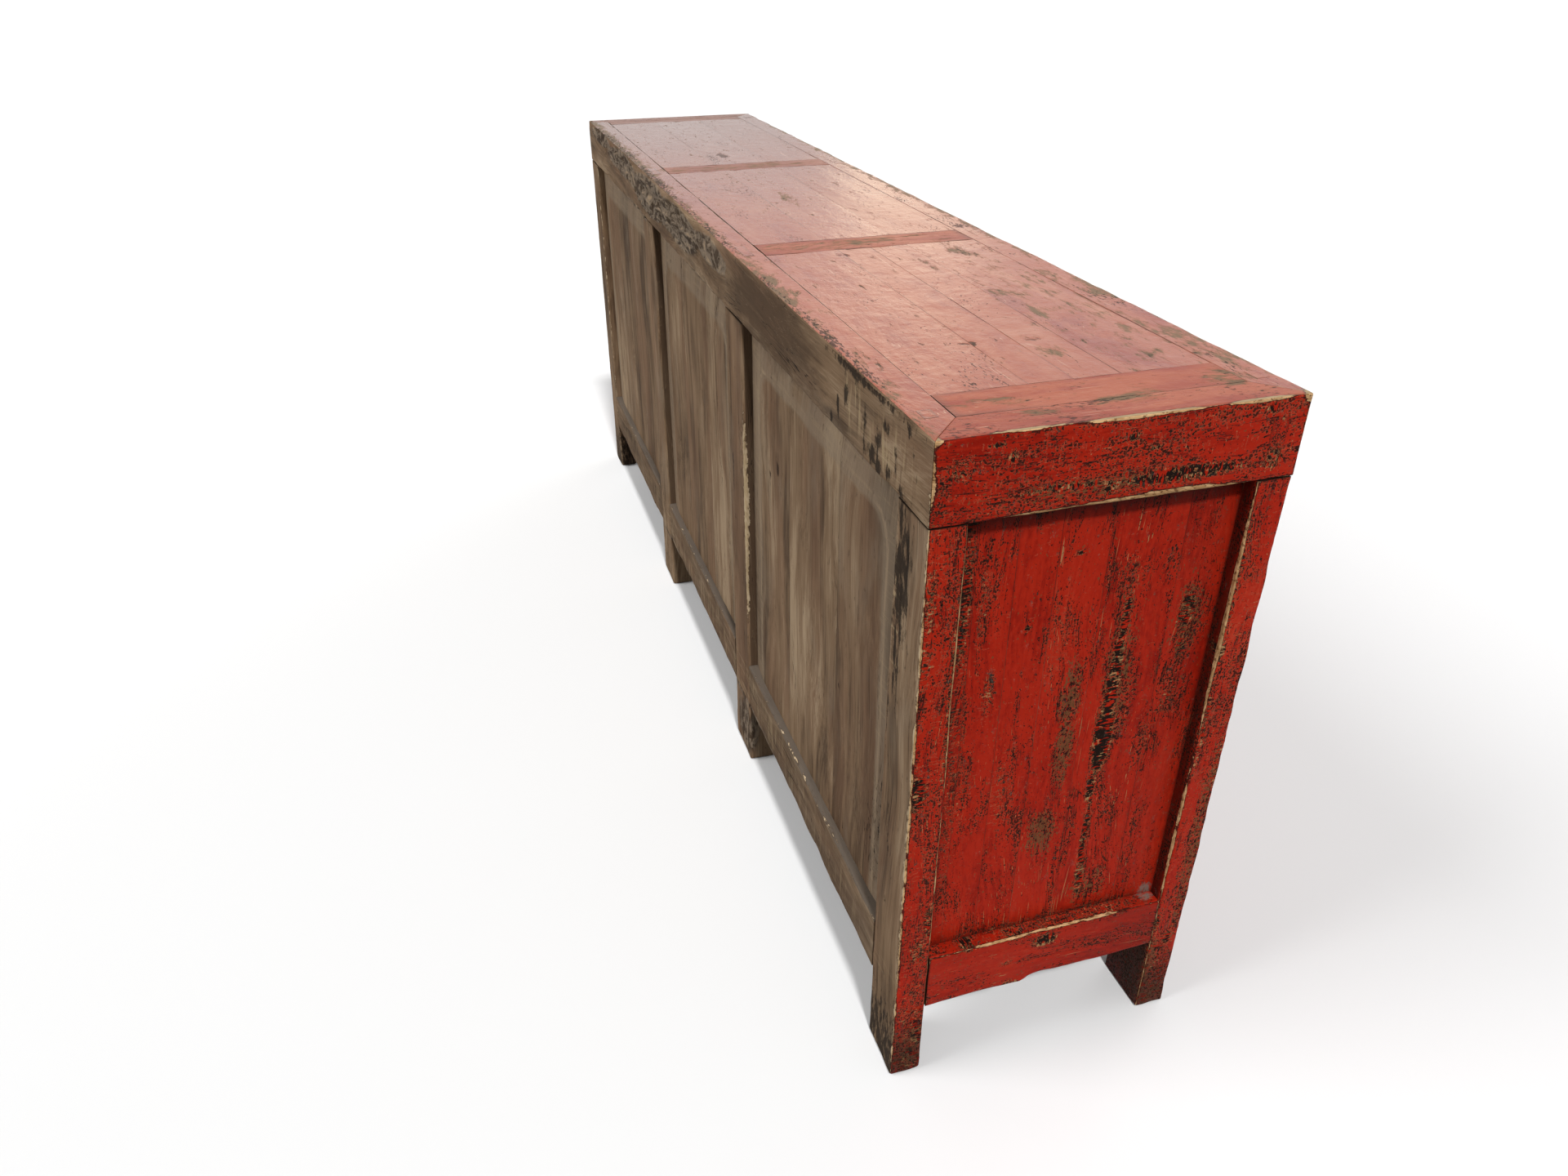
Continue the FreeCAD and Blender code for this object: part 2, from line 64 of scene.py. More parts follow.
# Main levels, read from the frame
halfLength = nodeBox["top_right_end_rail"][1][0]
halfDepth = nodeBox["top_back_rail"][1][1]
topLevel = nodeBox["top_back_rail"][1][2]
frameUnder = nodeBox["top_back_rail"][0][2]
endInner = nodeBox["top_right_end_rail"][0][0]
longInner = nodeBox["top_back_rail"][0][1]
lowerTop = nodeBox["lower_left_end_rail"][1][2]
postInner = nodeBox["back_left_corner_post"][0][1]
flush = 0.00015             # tenon ends stand this much proud of their rail


# Noise on points, the same on every run

hashFactors = np.array([73856093, 19349663, 83492791])
seedFactor = 26544357
mixFactor = 1274126177


def latticeValue(cell, seed):
    # each whole-number cell is hashed to a value from 0 to 1
    mixed = np.bitwise_xor.reduce(cell * hashFactors, axis=1) ^ (seed + 1) * seedFactor
    mixed = ((mixed ^ (mixed >> 13)) * mixFactor) & 0x7fffffff
    mixed = mixed ^ (mixed >> 15)
    return (mixed & 0xffff) / 0xffff


def valueNoise(points, seed):
    # the eight lattice values round each point, blended with a smooth step along each axis
    cell = np.floor(points).astype(np.int64)
    part = points - cell
    part = part * part * (3 - 2 * part)
    total = np.zeros(len(points))
    for corner in np.ndindex(2, 2, 2):
        offset = np.array(corner)
        weight = np.prod(np.where(offset, part, 1 - part), axis=1)
        total += weight * latticeValue(cell + offset, seed)
    return total


def layeredNoise(points, layers, seed):
    # each layer is twice as fine and half as strong as the one before
    total, strength, reach = 0.0, 1.0, 0.0
    for layer in range(layers):
        total = total + strength * valueNoise(points * 2 ** layer, seed + 7 * layer)
        reach += strength
        strength *= 0.5
    return total / reach


def ease(value, start, end):
    # a smooth step: 0 up to start, 1 from end on, level at both
    part = np.clip((value - start) / (end - start), 0, 1)
    return part * part * (3 - 2 * part)


def easeBelow(value, level, depths):
    # a smooth step between two depths under a level
    return ease(value, level - depths[0], level - depths[1])


def fading(distance, strength, reach):
    # strength times e to the minus distance over reach
    return strength * np.exp(-distance / reach)


# Places where the finish is worn or marked, in metres

# the faces that carry marks: the axis that they lie across, their level and how deep a mark reaches
markedFaces = {"leftFrame": (0, -halfLength, 0.02), "leftLedge": (0, -halfLength + 0.01, 0.02),
               "leftPanel": (0, -halfLength + 0.02, 0.03), "top": (2, topLevel, 0.02),
               "back": (1, halfDepth, 0.02), "deepBack": (1, halfDepth, 0.03),
               "backPanel": (1, halfDepth - 0.0105, 0.03)}

# on a face: the two coordinates of the middle, the two half sizes and how strong
facePlaces = {
    "loss": {
        "leftPanel": [
            (-0.047, 0.655, 0.006, 0.040, 0.9), (-0.046, 0.570, 0.010, 0.070, 1.0),
            (-0.045, 0.490, 0.013, 0.060, 1.2), (-0.047, 0.600, 0.004, 0.110, 0.9),
            (-0.043, 0.330, 0.004, 0.110, 0.8), (-0.041, 0.415, 0.007, 0.030, 0.9),
            (-0.044, 0.345, 0.006, 0.040, 0.8), (-0.047, 0.270, 0.006, 0.045, 0.9),
            (-0.126, 0.650, 0.013, 0.030, 0.75), (-0.128, 0.601, 0.010, 0.020, 0.6),
            (-0.123, 0.534, 0.012, 0.040, 0.4), (-0.101, 0.479, 0.012, 0.040, 0.35),
            (0.150, 0.700, 0.009, 0.100, 0.7), (0.145, 0.480, 0.012, 0.200, 0.42),
            (0.080, 0.430, 0.014, 0.070, 0.40), (0.030, 0.640, 0.020, 0.050, 0.30),
            (0.128, 0.701, 0.007, 0.070, 0.45), (0.110, 0.585, 0.011, 0.035, 0.5),
            (0.129, 0.450, 0.010, 0.060, 0.35), (0.021, 0.745, 0.007, 0.003, 1.0),
            (0.073, 0.659, 0.004, 0.005, 1.0), (0.150, 0.800, 0.010, 0.010, 0.9),
            (-0.010, 0.212, 0.150, 0.004, 0.45),
        ],
        "leftFrame": [
            (0.060, 0.833, 0.070, 0.005, 0.75), (-0.070, 0.830, 0.085, 0.009, 0.9),
            (0.013, 0.825, 0.007, 0.006, 1.1), (0.176, 0.866, 0.020, 0.014, 0.55),
            (0.141, 0.887, 0.010, 0.003, 0.9), (0.124, 0.873, 0.003, 0.010, 0.9),
            (-0.006, 0.877, 0.008, 0.006, 0.8), (-0.031, 0.863, 0.010, 0.005, 0.7),
            (-0.161, 0.888, 0.007, 0.007, 0.9), (-0.183, 0.877, 0.012, 0.012, 0.45),
            (-0.175, 0.832, 0.014, 0.020, 0.6), (0.197, 0.725, 0.010, 0.050, 0.55),
            (0.199, 0.650, 0.008, 0.060, 0.50), (0.196, 0.480, 0.012, 0.030, 0.9),
            (0.166, 0.272, 0.012, 0.035, 0.75), (0.178, 0.225, 0.016, 0.030, 0.6),
            (0.172, 0.085, 0.012, 0.050, 0.75), (0.180, 0.028, 0.020, 0.030, 0.65),
            (-0.166, 0.167, 0.006, 0.018, 0.8), (-0.188, 0.132, 0.008, 0.018, 0.8),
            (-0.182, 0.060, 0.030, 0.070, 0.42), (0.184, 0.110, 0.026, 0.090, 0.42),
            (-0.201, 0.430, 0.012, 0.050, 0.55), (-0.166, 0.597, 0.006, 0.014, 1.1),
            (-0.168, 0.700, 0.004, 0.090, 0.6), (-0.168, 0.480, 0.004, 0.090, 0.6),
            (0.168, 0.600, 0.004, 0.180, 0.6), (0.002, 0.189, 0.020, 0.012, 1.0),
            (0.054, 0.164, 0.008, 0.005, 0.7), (0.045, 0.124, 0.012, 0.007, 0.75),
        ],
        "leftLedge": [
            (0.000, 0.206, 0.150, 0.006, 0.42), (0.110, 0.207, 0.012, 0.010, 0.8),
            (0.045, 0.207, 0.022, 0.010, 0.6), (-0.070, 0.207, 0.070, 0.010, 0.45),
        ],
        "top": [
            (0.000, 0.199, 1.100, 0.008, 0.45), (-0.800, 0.198, 0.120, 0.010, 0.6),
            (0.037, -0.142, 0.030, 0.012, 0.5), (-0.055, -0.170, 0.030, 0.010, 0.6),
            (-0.277, -0.182, 0.016, 0.010, 0.9), (0.470, 0.030, 0.070, 0.022, 0.5),
        ],
    },
    "brown": {
        "leftPanel": [
            (0.006, 0.560, 0.016, 0.050, 0.7), (0.005, 0.480, 0.014, 0.055, 0.75),
            (0.018, 0.358, 0.022, 0.035, 0.8), (-0.050, 0.560, 0.020, 0.130, 0.5),
            (-0.126, 0.640, 0.022, 0.060, 0.5), (-0.060, 0.250, 0.030, 0.030, 0.5),
        ],
        "leftFrame": [
            (-0.195, 0.300, 0.012, 0.180, 0.6), (0.185, 0.040, 0.030, 0.050, 0.6),
            (-0.184, 0.020, 0.030, 0.030, 0.7), (0.000, 0.830, 0.150, 0.012, 0.5),
        ],
        "top": [
            (-0.632, -0.072, 0.020, 0.010, 0.8), (-0.731, -0.075, 0.030, 0.012, 0.8),
            (-0.819, -0.142, 0.024, 0.012, 0.75), (-0.802, -0.072, 0.014, 0.010, 0.7),
            (-0.554, -0.170, 0.030, 0.010, 0.6), (-0.672, -0.184, 0.030, 0.012, 0.75),
            (-0.824, -0.173, 0.040, 0.012, 0.7), (-0.859, -0.019, 0.024, 0.016, 0.6),
            (-0.984, 0.110, 0.012, 0.042, 0.75), (-1.026, 0.084, 0.010, 0.030, 0.6),
            (-1.016, -0.018, 0.014, 0.045, 0.75), (-0.996, -0.150, 0.025, 0.030, 0.7),
            (0.005, 0.014, 0.060, 0.012, 0.6), (0.000, -0.203, 1.100, 0.014, 0.60),
            (-0.900, -0.185, 0.090, 0.018, 0.65), (-0.420, -0.110, 0.050, 0.012, 0.65),
            (-0.700, -0.125, 0.280, 0.090, 0.28), (-0.332, 0.030, 0.030, 0.190, 0.42),
            (0.332, 0.030, 0.030, 0.190, 0.50), (-0.480, -0.040, 0.040, 0.010, 0.60),
        ],
        "deepBack": [
            (-0.520, 0.850, 0.240, 0.080, 1.0), (0.150, 0.830, 0.900, 0.030, 0.6),
            (-1.012, 0.745, 0.030, 0.070, 0.65),
        ],
        "backPanel": [
            (-0.900, 0.260, 0.080, 0.120, 0.45), (-0.480, 0.640, 0.060, 0.120, 0.45),
            (-0.440, 0.350, 0.040, 0.130, 0.50), (0.220, 0.500, 0.060, 0.250, 0.40),
            (0.860, 0.500, 0.080, 0.250, 0.45),
        ],
    },
    "soot": {
        "back": [
            (-0.802, 0.839, 0.005, 0.013, 1.0), (-0.780, 0.815, 0.006, 0.010, 1.0),
            (-0.885, 0.845, 0.005, 0.030, 0.9), (-0.909, 0.825, 0.013, 0.014, 0.9),
            (-0.930, 0.817, 0.013, 0.009, 1.0), (-0.945, 0.868, 0.010, 0.009, 0.9),
            (-1.004, 0.887, 0.003, 0.009, 1.0), (-0.955, 0.820, 0.010, 0.010, 0.9),
            (-0.986, 0.818, 0.007, 0.008, 0.9), (-0.880, 0.893, 0.130, 0.004, 0.9),
            (-0.996, 0.745, 0.004, 0.070, 1.1), (-0.976, 0.752, 0.003, 0.035, 0.9),
            (-1.000, 0.720, 0.028, 0.095, 0.64), (-0.994, 0.640, 0.003, 0.070, 1.0),
            (-1.006, 0.690, 0.003, 0.050, 0.9), (-0.986, 0.540, 0.003, 0.080, 0.7),
            (-1.013, 0.752, 0.0035, 0.060, 1.1), (-1.023, 0.768, 0.0025, 0.045, 1.0),
            (-1.003, 0.610, 0.003, 0.070, 0.9), (-0.826, 0.862, 0.008, 0.020, 0.8),
            (-0.860, 0.880, 0.007, 0.014, 0.8), (-0.924, 0.848, 0.006, 0.016, 0.8),
            (-0.972, 0.846, 0.006, 0.016, 0.8), (-0.310, 0.545, 0.004, 0.050, 0.8),
            (-0.400, 0.250, 0.030, 0.030, 0.4),
        ],
    },
    "knot": {
        "backPanel": [
            (-0.520, 0.636, 0.006, 0.014, 1.0), (-0.480, 0.612, 0.004, 0.010, 0.8),
            (-0.795, 0.445, 0.004, 0.006, 0.8),
        ],
        "top": [
            (-0.815, 0.061, 0.010, 0.011, 0.9), (-0.738, -0.017, 0.003, 0.009, 0.7),
            (-0.396, 0.061, 0.010, 0.012, 0.9), (0.467, 0.012, 0.030, 0.014, 0.8),
            (-0.681, -0.069, 0.003, 0.006, 0.9), (-0.568, 0.094, 0.003, 0.003, 0.9),
            (-0.826, -0.021, 0.004, 0.012, 0.7),
        ],
    },
    "sawn": {
        "back": [
            (-0.845, 0.855, 0.040, 0.030, 0.9), (-0.960, 0.845, 0.060, 0.030, 1.0),
            (-0.990, 0.690, 0.016, 0.080, 1.0), (0.000, 0.160, 1.000, 0.040, 0.5),
        ],
    },
    "gouge": {
        "deepBack": [
            (0.880, 0.885, 0.150, 0.018, 1.0), (0.600, 0.872, 0.200, 0.026, 1.0),
            (0.300, 0.858, 0.200, 0.036, 1.1), (0.040, 0.860, 0.180, 0.036, 1.0),
            (-0.180, 0.868, 0.130, 0.026, 0.8), (-0.100, 0.805, 0.200, 0.008, 0.8),
            (0.450, 0.808, 0.150, 0.008, 0.7), (0.000, 0.120, 1.000, 0.012, 0.7),
            (-0.345, 0.060, 0.060, 0.070, 0.7),
        ],
    },
}

# along an arris or in a corner: the middle, the half size and how strong
arrisPlaces = {
    "rub": [
        ((-1.06, 0.2055, 0.400), (0.005, 0.005, 0.500), 0.9),
        ((-1.06, 0.2055, 0.855), (0.006, 0.006, 0.040), 0.8),
        ((-1.06, -0.015, 0.900), (0.005, 0.085, 0.0048), 1.0),
        ((-1.06, 0.110, 0.900), (0.005, 0.060, 0.0030), 0.8),
        ((-1.06, -0.145, 0.900), (0.005, 0.050, 0.0045), 0.95),
        ((-1.06, -0.2055, 0.900), (0.014, 0.012, 0.012), 1.0),
        ((-1.06, 0.2055, 0.900), (0.010, 0.010, 0.010), 0.9),
        ((-1.06, -0.005, 0.808), (0.006, 0.170, 0.0058), 1.1),
        ((-1.06, -0.060, 0.808), (0.006, 0.070, 0.0080), 1.0),
        ((-1.06, 0.000, 0.207), (0.006, 0.150, 0.004), 1.0),
        ((-1.06, -0.1625, 0.640), (0.006, 0.0034, 0.170), 1.1),
        ((-1.06, -0.1625, 0.330), (0.006, 0.0034, 0.160), 1.15),
        ((-1.06, 0.1625, 0.620), (0.006, 0.0036, 0.190), 1.2),
        ((-1.06, 0.1625, 0.330), (0.006, 0.0034, 0.150), 1.1),
        ((-0.3785, 0.2055, 0.500), (0.008, 0.008, 0.190), 0.95),
        ((-0.3785, 0.2055, 0.350), (0.006, 0.006, 0.080), 1.0),
        ((-0.700, 0.2055, 0.207), (0.300, 0.005, 0.004), 0.55),
        ((0.000, 0.2055, 0.207), (0.300, 0.005, 0.004), 0.5),
    ],
    "brown": [((-1.04, -0.165, 0.070), (0.06, 0.020, 0.080), 0.75)],
    "dust": [((-1.043, -0.150, 0.213), (0.012, 0.013, 0.012), 0.75)],
}


def gatherPlaces():
    # every place in three dimensions: its middle, its half size and how strong
    places = {channel: [(np.array(middle), np.array(half), strength) for middle, half, strength in rows]
              for channel, rows in arrisPlaces.items()}
    for channel, faces in facePlaces.items():
        for face, rows in faces.items():
            axis, level, reach = markedFaces[face]
            middles = np.insert(np.array(rows)[:, 0:2], axis, level, axis=1)
            halves = np.insert(np.array(rows)[:, 2:4], axis, reach, axis=1)
            strengths = [row[4] for row in rows]
            places.setdefault(channel, []).extend(zip(middles, halves, strengths))
    return places


wornPlaces = gatherPlaces()


def placeStrength(channel, points):
    # a flat-topped bell round each place: strength times e to the minus distance to the fourth power
    total = np.zeros(len(points))
    low, high = points.min(axis=0), points.max(axis=0)
    for middle, half, strength in wornPlaces[channel]:
        if np.any(middle + 2 * half < low) or np.any(middle - 2 * half > high):
            continue
        squared = np.sum(((points - middle) / half) ** 2, axis=1)
        total = np.maximum(total, strength * np.exp(-squared * squared))
    return total


# Boards: closed boxes on graded grids, with worn round arrises

sideLetters = "xXyYzZ"      # low and high side along each axis
edgeShares = np.array([0, 0.06, 0.16, 0.30, 0.46, 0.70, 1])   # grid lines over an arris
# the first channel of the stain attribute carries real soot and also painted shade
markLayers = {"wear": ("rub", "loss", "brown", "dust"), "carve": ("sawn", "gouge", "bleach", "knot"),
              "stain": ("soot", "fade", "tone", "seam")}      # colour attributes and their channels
boardMaking = {"arrisReach": 2.2, "arrisRoom": 0.45, "radiusRoom": 0.49, "lineShare": 0.6, "alongStep": 1.5,
               "swellScale": 24, "swellGain": 3, "swellLevel": 0.48, "leastSwell": 0.3, "mostSwell": 4.5,
               "reliefAlong": 5.0, "reliefAcross": 34.0, "bitesAlong": 17.0, "biteHeight": 0.03,
               "knotReach": 2.2, "knotPull": 0.8, "waveAlong": 4.5, "waveAcross": 11.0, "waveSize": 0.050,
               "fadeFrom": -0.70, "fadeTo": 1.1, "grainStart": (3, 40), "plainGrain": 5.0}


def gridLines(low, high, radius, step):
    # close together over both arrises, even in between
    room = high - low
    reach = min(boardMaking["arrisReach"] * radius, boardMaking["arrisRoom"] * room)
    count = max(1, int(np.ceil((room - 2 * reach) / step)))
    middle = np.linspace(low + reach, high - reach, count + 1)
    return np.concatenate([low + reach * edgeShares[:-1], middle, high - reach * edgeShares[-2::-1]])


def gridQuads(code):
    # the four corner numbers of each cell in a grid of point numbers
    corners = [code[:-1, :-1], code[1:, :-1], code[1:, 1:], code[:-1, 1:]]
    return np.stack([corner.ravel() for corner in corners], axis=1)


def boxLattice(lines):
    # six face grids that share their border points: the lattice points with a first or last index
    counts = [len(line) for line in lines]
    codes, quadSides = [], []
    for axis in range(3):
        second, third = (axis + 1) % 3, (axis + 2) % 3
        rows, columns = np.meshgrid(np.arange(counts[second]), np.arange(counts[third]), indexing="ij")
        for top in (0, 1):
            index = [None, None, None]
            index[axis] = np.full(rows.shape, top * (counts[axis] - 1))
            index[second], index[third] = rows, columns
            quads = gridQuads(np.ravel_multi_index(index, counts))
            codes.append(quads if top else quads[:, ::-1])
            quadSides.append(np.full(len(quads), 2 * axis + top))
    used, inverse = np.unique(np.concatenate(codes), return_inverse=True)
    cells = np.unravel_index(used, counts)
    points = np.stack([lines[axis][cells[axis]] for axis in range(3)], axis=1)
    return points, inverse.reshape(-1, 4), np.concatenate(quadSides)


def roundArrises(points, low, high, radii):
    # each point moves onto the surface that a small ellipsoid sweeps over the shrunken box
    core = np.clip(points, low + radii, high - radii)
    offset = (points - core) / radii
    normal = offset / np.linalg.norm(offset, axis=1, keepdims=True)
    return core + radii * normal, normal


def board(low, high, along, finish, shown, look, **extra):
    # finish: a letter for each side; shown: the sides whose arrises are rubbed
    low, high = np.array(low, float), np.array(high, float)
    return dict(look, low=low, high=high, axis="xyz".index(along), finish=finish, shown=shown) | extra


def byAxis(axis, along, across):
    # one value along the board and another across it
    return np.where(np.arange(3) == axis, along, across)


def shownSides(spec):
    # for each of the six sides, if it is a shown one
    return np.array([letter in spec["shown"] for letter in sideLetters])


def nearShown(spec, points):
    # along each axis, if the nearer of the two sides is a shown one
    nearHigh = (points > (spec["low"] + spec["high"]) / 2).astype(int)
    return shownSides(spec).reshape(3, 2)[np.arange(3), nearHigh]


def arrisRadii(spec, points):
    # along each axis: the worn arris near a shown side, the tight one near a hidden side
    worn = byAxis(spec["axis"], spec["endArris"], spec["arris"])
    return np.where(nearShown(spec, points), worn, spec["tight"])


def wornSurface(spec, seed):
    # a box lattice with round arrises, moved inwards by noise that is long along the grain
    low, high, axis = spec["low"], spec["high"], spec["axis"]
    steps = byAxis(axis, boardMaking["alongStep"] * spec["step"], spec["step"])
    lineRadius = spec.get("lineRadius", np.full(3, boardMaking["lineShare"] * spec["arris"]))
    lines = [gridLines(low[a], high[a], lineRadius[a], steps[a]) for a in range(3)]
    points, quads, quadSides = boxLattice(lines)

    # the arris radius swells and shrinks along the board
    uneven = layeredNoise(points * boardMaking["swellScale"], 3, seed) - boardMaking["swellLevel"]
    swell = 1 + spec["wear"] * boardMaking["swellGain"] * uneven
    if "chips" in spec:
        swell = swell * spec["chips"](points)
    swell = np.clip(swell, boardMaking["leastSwell"], boardMaking["mostSwell"])
    base = spec["radiusAt"](points) if "radiusAt" in spec else arrisRadii(spec, points)
    radii = np.minimum(base * swell[:, None], boardMaking["radiusRoom"] * (high - low))
    shaped, normal = roundArrises(points, low, high, radii)

    # hand-planed faces are never quite flat, and follow the grain
    stretch = byAxis(axis, boardMaking["reliefAlong"], boardMaking["reliefAcross"])
    yielding = np.where(nearShown(spec, points), 1.0, spec.get("sideRelief", 1.0))
    relief = spec["relief"] * layeredNoise(points * stretch, 3, spec.get("reliefSeed", seed + 3))
    shaped -= normal * yielding * relief[:, None]
    if "raggedUnder" in spec:
        bites = layeredNoise(points * byAxis(axis, boardMaking["bitesAlong"], 0.0), 4, seed + 5)
        above = (points[:, 2] - low[2]) / boardMaking["biteHeight"]
        shaped[:, 2] += spec["raggedUnder"] * bites * np.clip(1 - above, 0, 1)
    if "warp" in spec:
        shaped = spec["warp"](shaped, points)
    return points, shaped, quads, quadSides


def grainPlace(spec, shaped, seed):
    # grain runs along the board, bows round knots and wanders across
    axis = spec["axis"]
    order = [axis, (axis + 1) % 3, (axis + 2) % 3]
    grain = shaped[:, order].copy()
    for middle, half, strength in wornPlaces["knot"]:
        away = (shaped - middle) / (boardMaking["knotReach"] * half)
        pull = strength * np.exp(-np.sum(away * away, axis=1))
        grain[:, 1:] -= boardMaking["knotPull"] * pull[:, None] * (grain[:, 1:] - middle[order][1:])
    waviness = byAxis(axis, boardMaking["waveAlong"], boardMaking["waveAcross"])
    for across in (1, 2):
        wave = layeredNoise(shaped * waviness, 2, seed + 11 * across) - 0.5
        grain[:, across] += boardMaking["waveSize"] * wave
    return grain


def boardMarks(spec, points, shaped, tone):
    # arrises between shown sides are rubbed; those against a hidden side are dark seams
    isShown = shownSides(spec)
    farAway = 9.0
    depths = np.stack([points - spec["low"], spec["high"] - points], axis=2).reshape(-1, 6)
    toArris = np.sort(np.where(isShown, depths, farAway), axis=1)[:, 1]
    toSeam = np.min(np.where(isShown, farAway, depths), axis=1)
    marks = {channel: placeStrength(channel, shaped) for channel in wornPlaces}
    marks["rub"] = np.maximum(marks["rub"], fading(toArris, spec["rubGain"], spec["rubWidth"]))
    marks["loss"] = np.maximum(marks["loss"], spec.get("pitted", 0.0))
    marks["seam"] = fading(toSeam, spec.get("seamGain", 1.0), spec["seamWidth"])
    marks["bleach"] = np.full(len(points), spec.get("bleach", 0.0))
    marks["fade"] = ease(shaped[:, 0], boardMaking["fadeFrom"], boardMaking["fadeTo"])
    tone = spec.get("tone", spec.get("toneSpread", 1.0) * tone)
    marks["tone"] = np.full(len(points), 0.5 + 0.5 * tone)
    if "marks" in spec:
        spec["marks"](marks, points, shaped)
    return {name: np.stack([marks[channel] for channel in names], axis=1)
            for name, names in markLayers.items()}


def shapeBoard(spec, seed):
    # the worn surface with a random place in the grain and a random tone
    points, shaped, quads, quadSides = wornSurface(spec, seed)
    random = np.random.default_rng(seed)
    grain = grainPlace(spec, shaped, seed) + random.uniform(*boardMaking["grainStart"], 3)
    layers = boardMarks(spec, points, shaped, random.uniform(-1, 1))
    finish = [spec["finish"][side] for side in quadSides]
    return layers | dict(points=shaped, faces=quads, finish=finish, grain=grain)


# Turned shapes: a profile carried round an axis

def plainPart(points, faces, finish):
    # a part with no marks of its own
    layers = {name: np.zeros((len(points), 4)) for name in markLayers}
    grain = points + boardMaking["plainGrain"]
    return layers | dict(points=points, faces=faces, finish=[finish] * len(faces), grain=grain)


def turned(profile, centre, axis, finish, segments):
    # profile is radius and place along the axis; its ends are closed with a cap
    profile = np.array(profile, float)
    angles = np.linspace(0, 2 * np.pi, segments, endpoint=False)
    second, third = (axis + 1) % 3, (axis + 2) % 3
    points = np.zeros((segments, len(profile), 3))
    points[:, :, axis] = profile[:, 1]
    points[:, :, second] = np.cos(angles)[:, None] * profile[:, 0]
    points[:, :, third] = np.sin(angles)[:, None] * profile[:, 0]
    points = points.reshape(-1, 3) + np.array(centre)
    code = np.arange(segments * len(profile)).reshape(segments, len(profile))
    closed = np.concatenate([code, code[:1]])
    faces = list(gridQuads(closed)) + [code[::-1, 0], code[:, -1]]
    return plainPart(points, faces, finish)


def torus(centre, ringRadius, wireRadius, finish, segments=64, around=16):
    # a circle of the wire's radius carried round the ring, which lies in the XZ plane
    turn = np.linspace(0, 2 * np.pi, segments, endpoint=False)[:, None]
    roll = np.linspace(0, 2 * np.pi, around, endpoint=False)[None, :]
    reach = ringRadius + wireRadius * np.cos(roll)
    sideways = wireRadius * np.sin(roll) + 0 * turn
    points = np.stack([reach * np.cos(turn), sideways, reach * np.sin(turn)], axis=2)
    code = np.arange(segments * around).reshape(segments, around)
    closed = np.pad(code, ((0, 1), (0, 1)), mode="wrap")
    faces = list(gridQuads(closed)[:, [0, 3, 2, 1]])
    return plainPart(points.reshape(-1, 3) + np.array(centre), faces, finish)


# Pieces: several boards and turned shapes in one mesh that stands for its CAD nodes

finishNames = {"r": "redLacquer", "f": "fadedLacquer", "b": "bareWood", "m": "agedBrass"}
materials = {letter: bpy.data.materials.new(name) for letter, name in finishNames.items()}
pieceCount = 0


def makePiece(node, parts, body="carcass"):
    # every board gets a seed from the number of its piece and its place there
    global pieceCount
    pieceCount += 1
    parts = [shapeBoard(part, 100 * pieceCount + number) if "low" in part else part
             for number, part in enumerate(parts)]

    def joined(name):
        return np.concatenate([part[name] for part in parts])

    starts = np.cumsum([0] + [len(part["points"]) for part in parts])
    faces = [(face + start).tolist() for part, start in zip(parts, starts) for face in part["faces"]]
    mesh = bpy.data.meshes.new(node + "_worn")
    mesh.from_pydata(joined("points").tolist(), [], faces)
    used, slots = np.unique(joined("finish"), return_inverse=True)
    for letter in used:
        mesh.materials.append(materials[letter])
    mesh.polygons.foreach_set("material_index", slots.astype(np.int32))
    mesh.polygons.foreach_set("use_smooth", np.ones(len(faces), bool))
    grain = mesh.attributes.new("grain", "FLOAT_VECTOR", "POINT")
    grain.data.foreach_set("vector", joined("grain").astype(np.float32).ravel())
    for name in markLayers:
        layer = mesh.attributes.new(name, "FLOAT_COLOR", "POINT")
        layer.data.foreach_set("color", joined(name).astype(np.float32).ravel())
    mesh.update()
    piece = bpy.data.objects.new(mesh.name, mesh)
    bpy.context.scene.collection.objects.link(piece)
    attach(piece, body)
    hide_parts(node)
    return piece


ends = {"left": -1, "right": 1}


def endFaces(side, otherFinish, otherShown=""):
    # finish and shown sides of a piece that is red on its outer side
    if side < 0:
        return "rb" + otherFinish, "x" + otherShown
    return "br" + otherFinish, "X" + otherShown


def neighbours(edges):
    # each edge with the next one
    return zip(edges[:-1], edges[1:])


# Top frame, mitred at the corners
topFrameLook = {"arris": 0.0035, "endArris": 0.0005, "tight": 0.0006, "step": 0.006, "wear": 0.8,
                "relief": 0.0005, "rubWidth": 0.0045, "rubGain": 0.8, "seamWidth": 0.0010, "toneSpread": 0.2,
                "endStep": {"left": 0.004, "right": 0.006}}
tenonLook = {"arris": 0.0006, "endArris": 0.0006, "tight": 0.0005, "step": 0.004, "wear": 0.3,
             "relief": 0.0003, "rubWidth": 0.001, "rubGain": 0.0, "seamWidth": 0.0012, "seamGain": 0.9,
             "tone": 0.0, "depth": 0.01}
railTenon = {"inset": 0.002, "width": 0.020, "drop": 0.023, "height": 0.035}
# wear of the back rail: each pair is where a change starts and ends
backRailWear = {"upperEdge": (0.04, 0.01), "farHalf": (-0.75, -0.25), "biteScale": (38, 5, 5), "biteSeed": 77,
                "nearBite": 0.5, "farBite": 2.8, "outerFace": (0.012, 0.002), "hollowScale": (26, 8, 44),
                "hollowSeed": 41, "hollow": (0.48, 0.72), "hollowDepth": 0.0042, "topFace": (0.003, 0.001),
                "rearStrip": (0.034, 0.004), "greyPlace": (-0.4, 0.6), "nearGrey": 0.45, "moreGrey": 0.4}


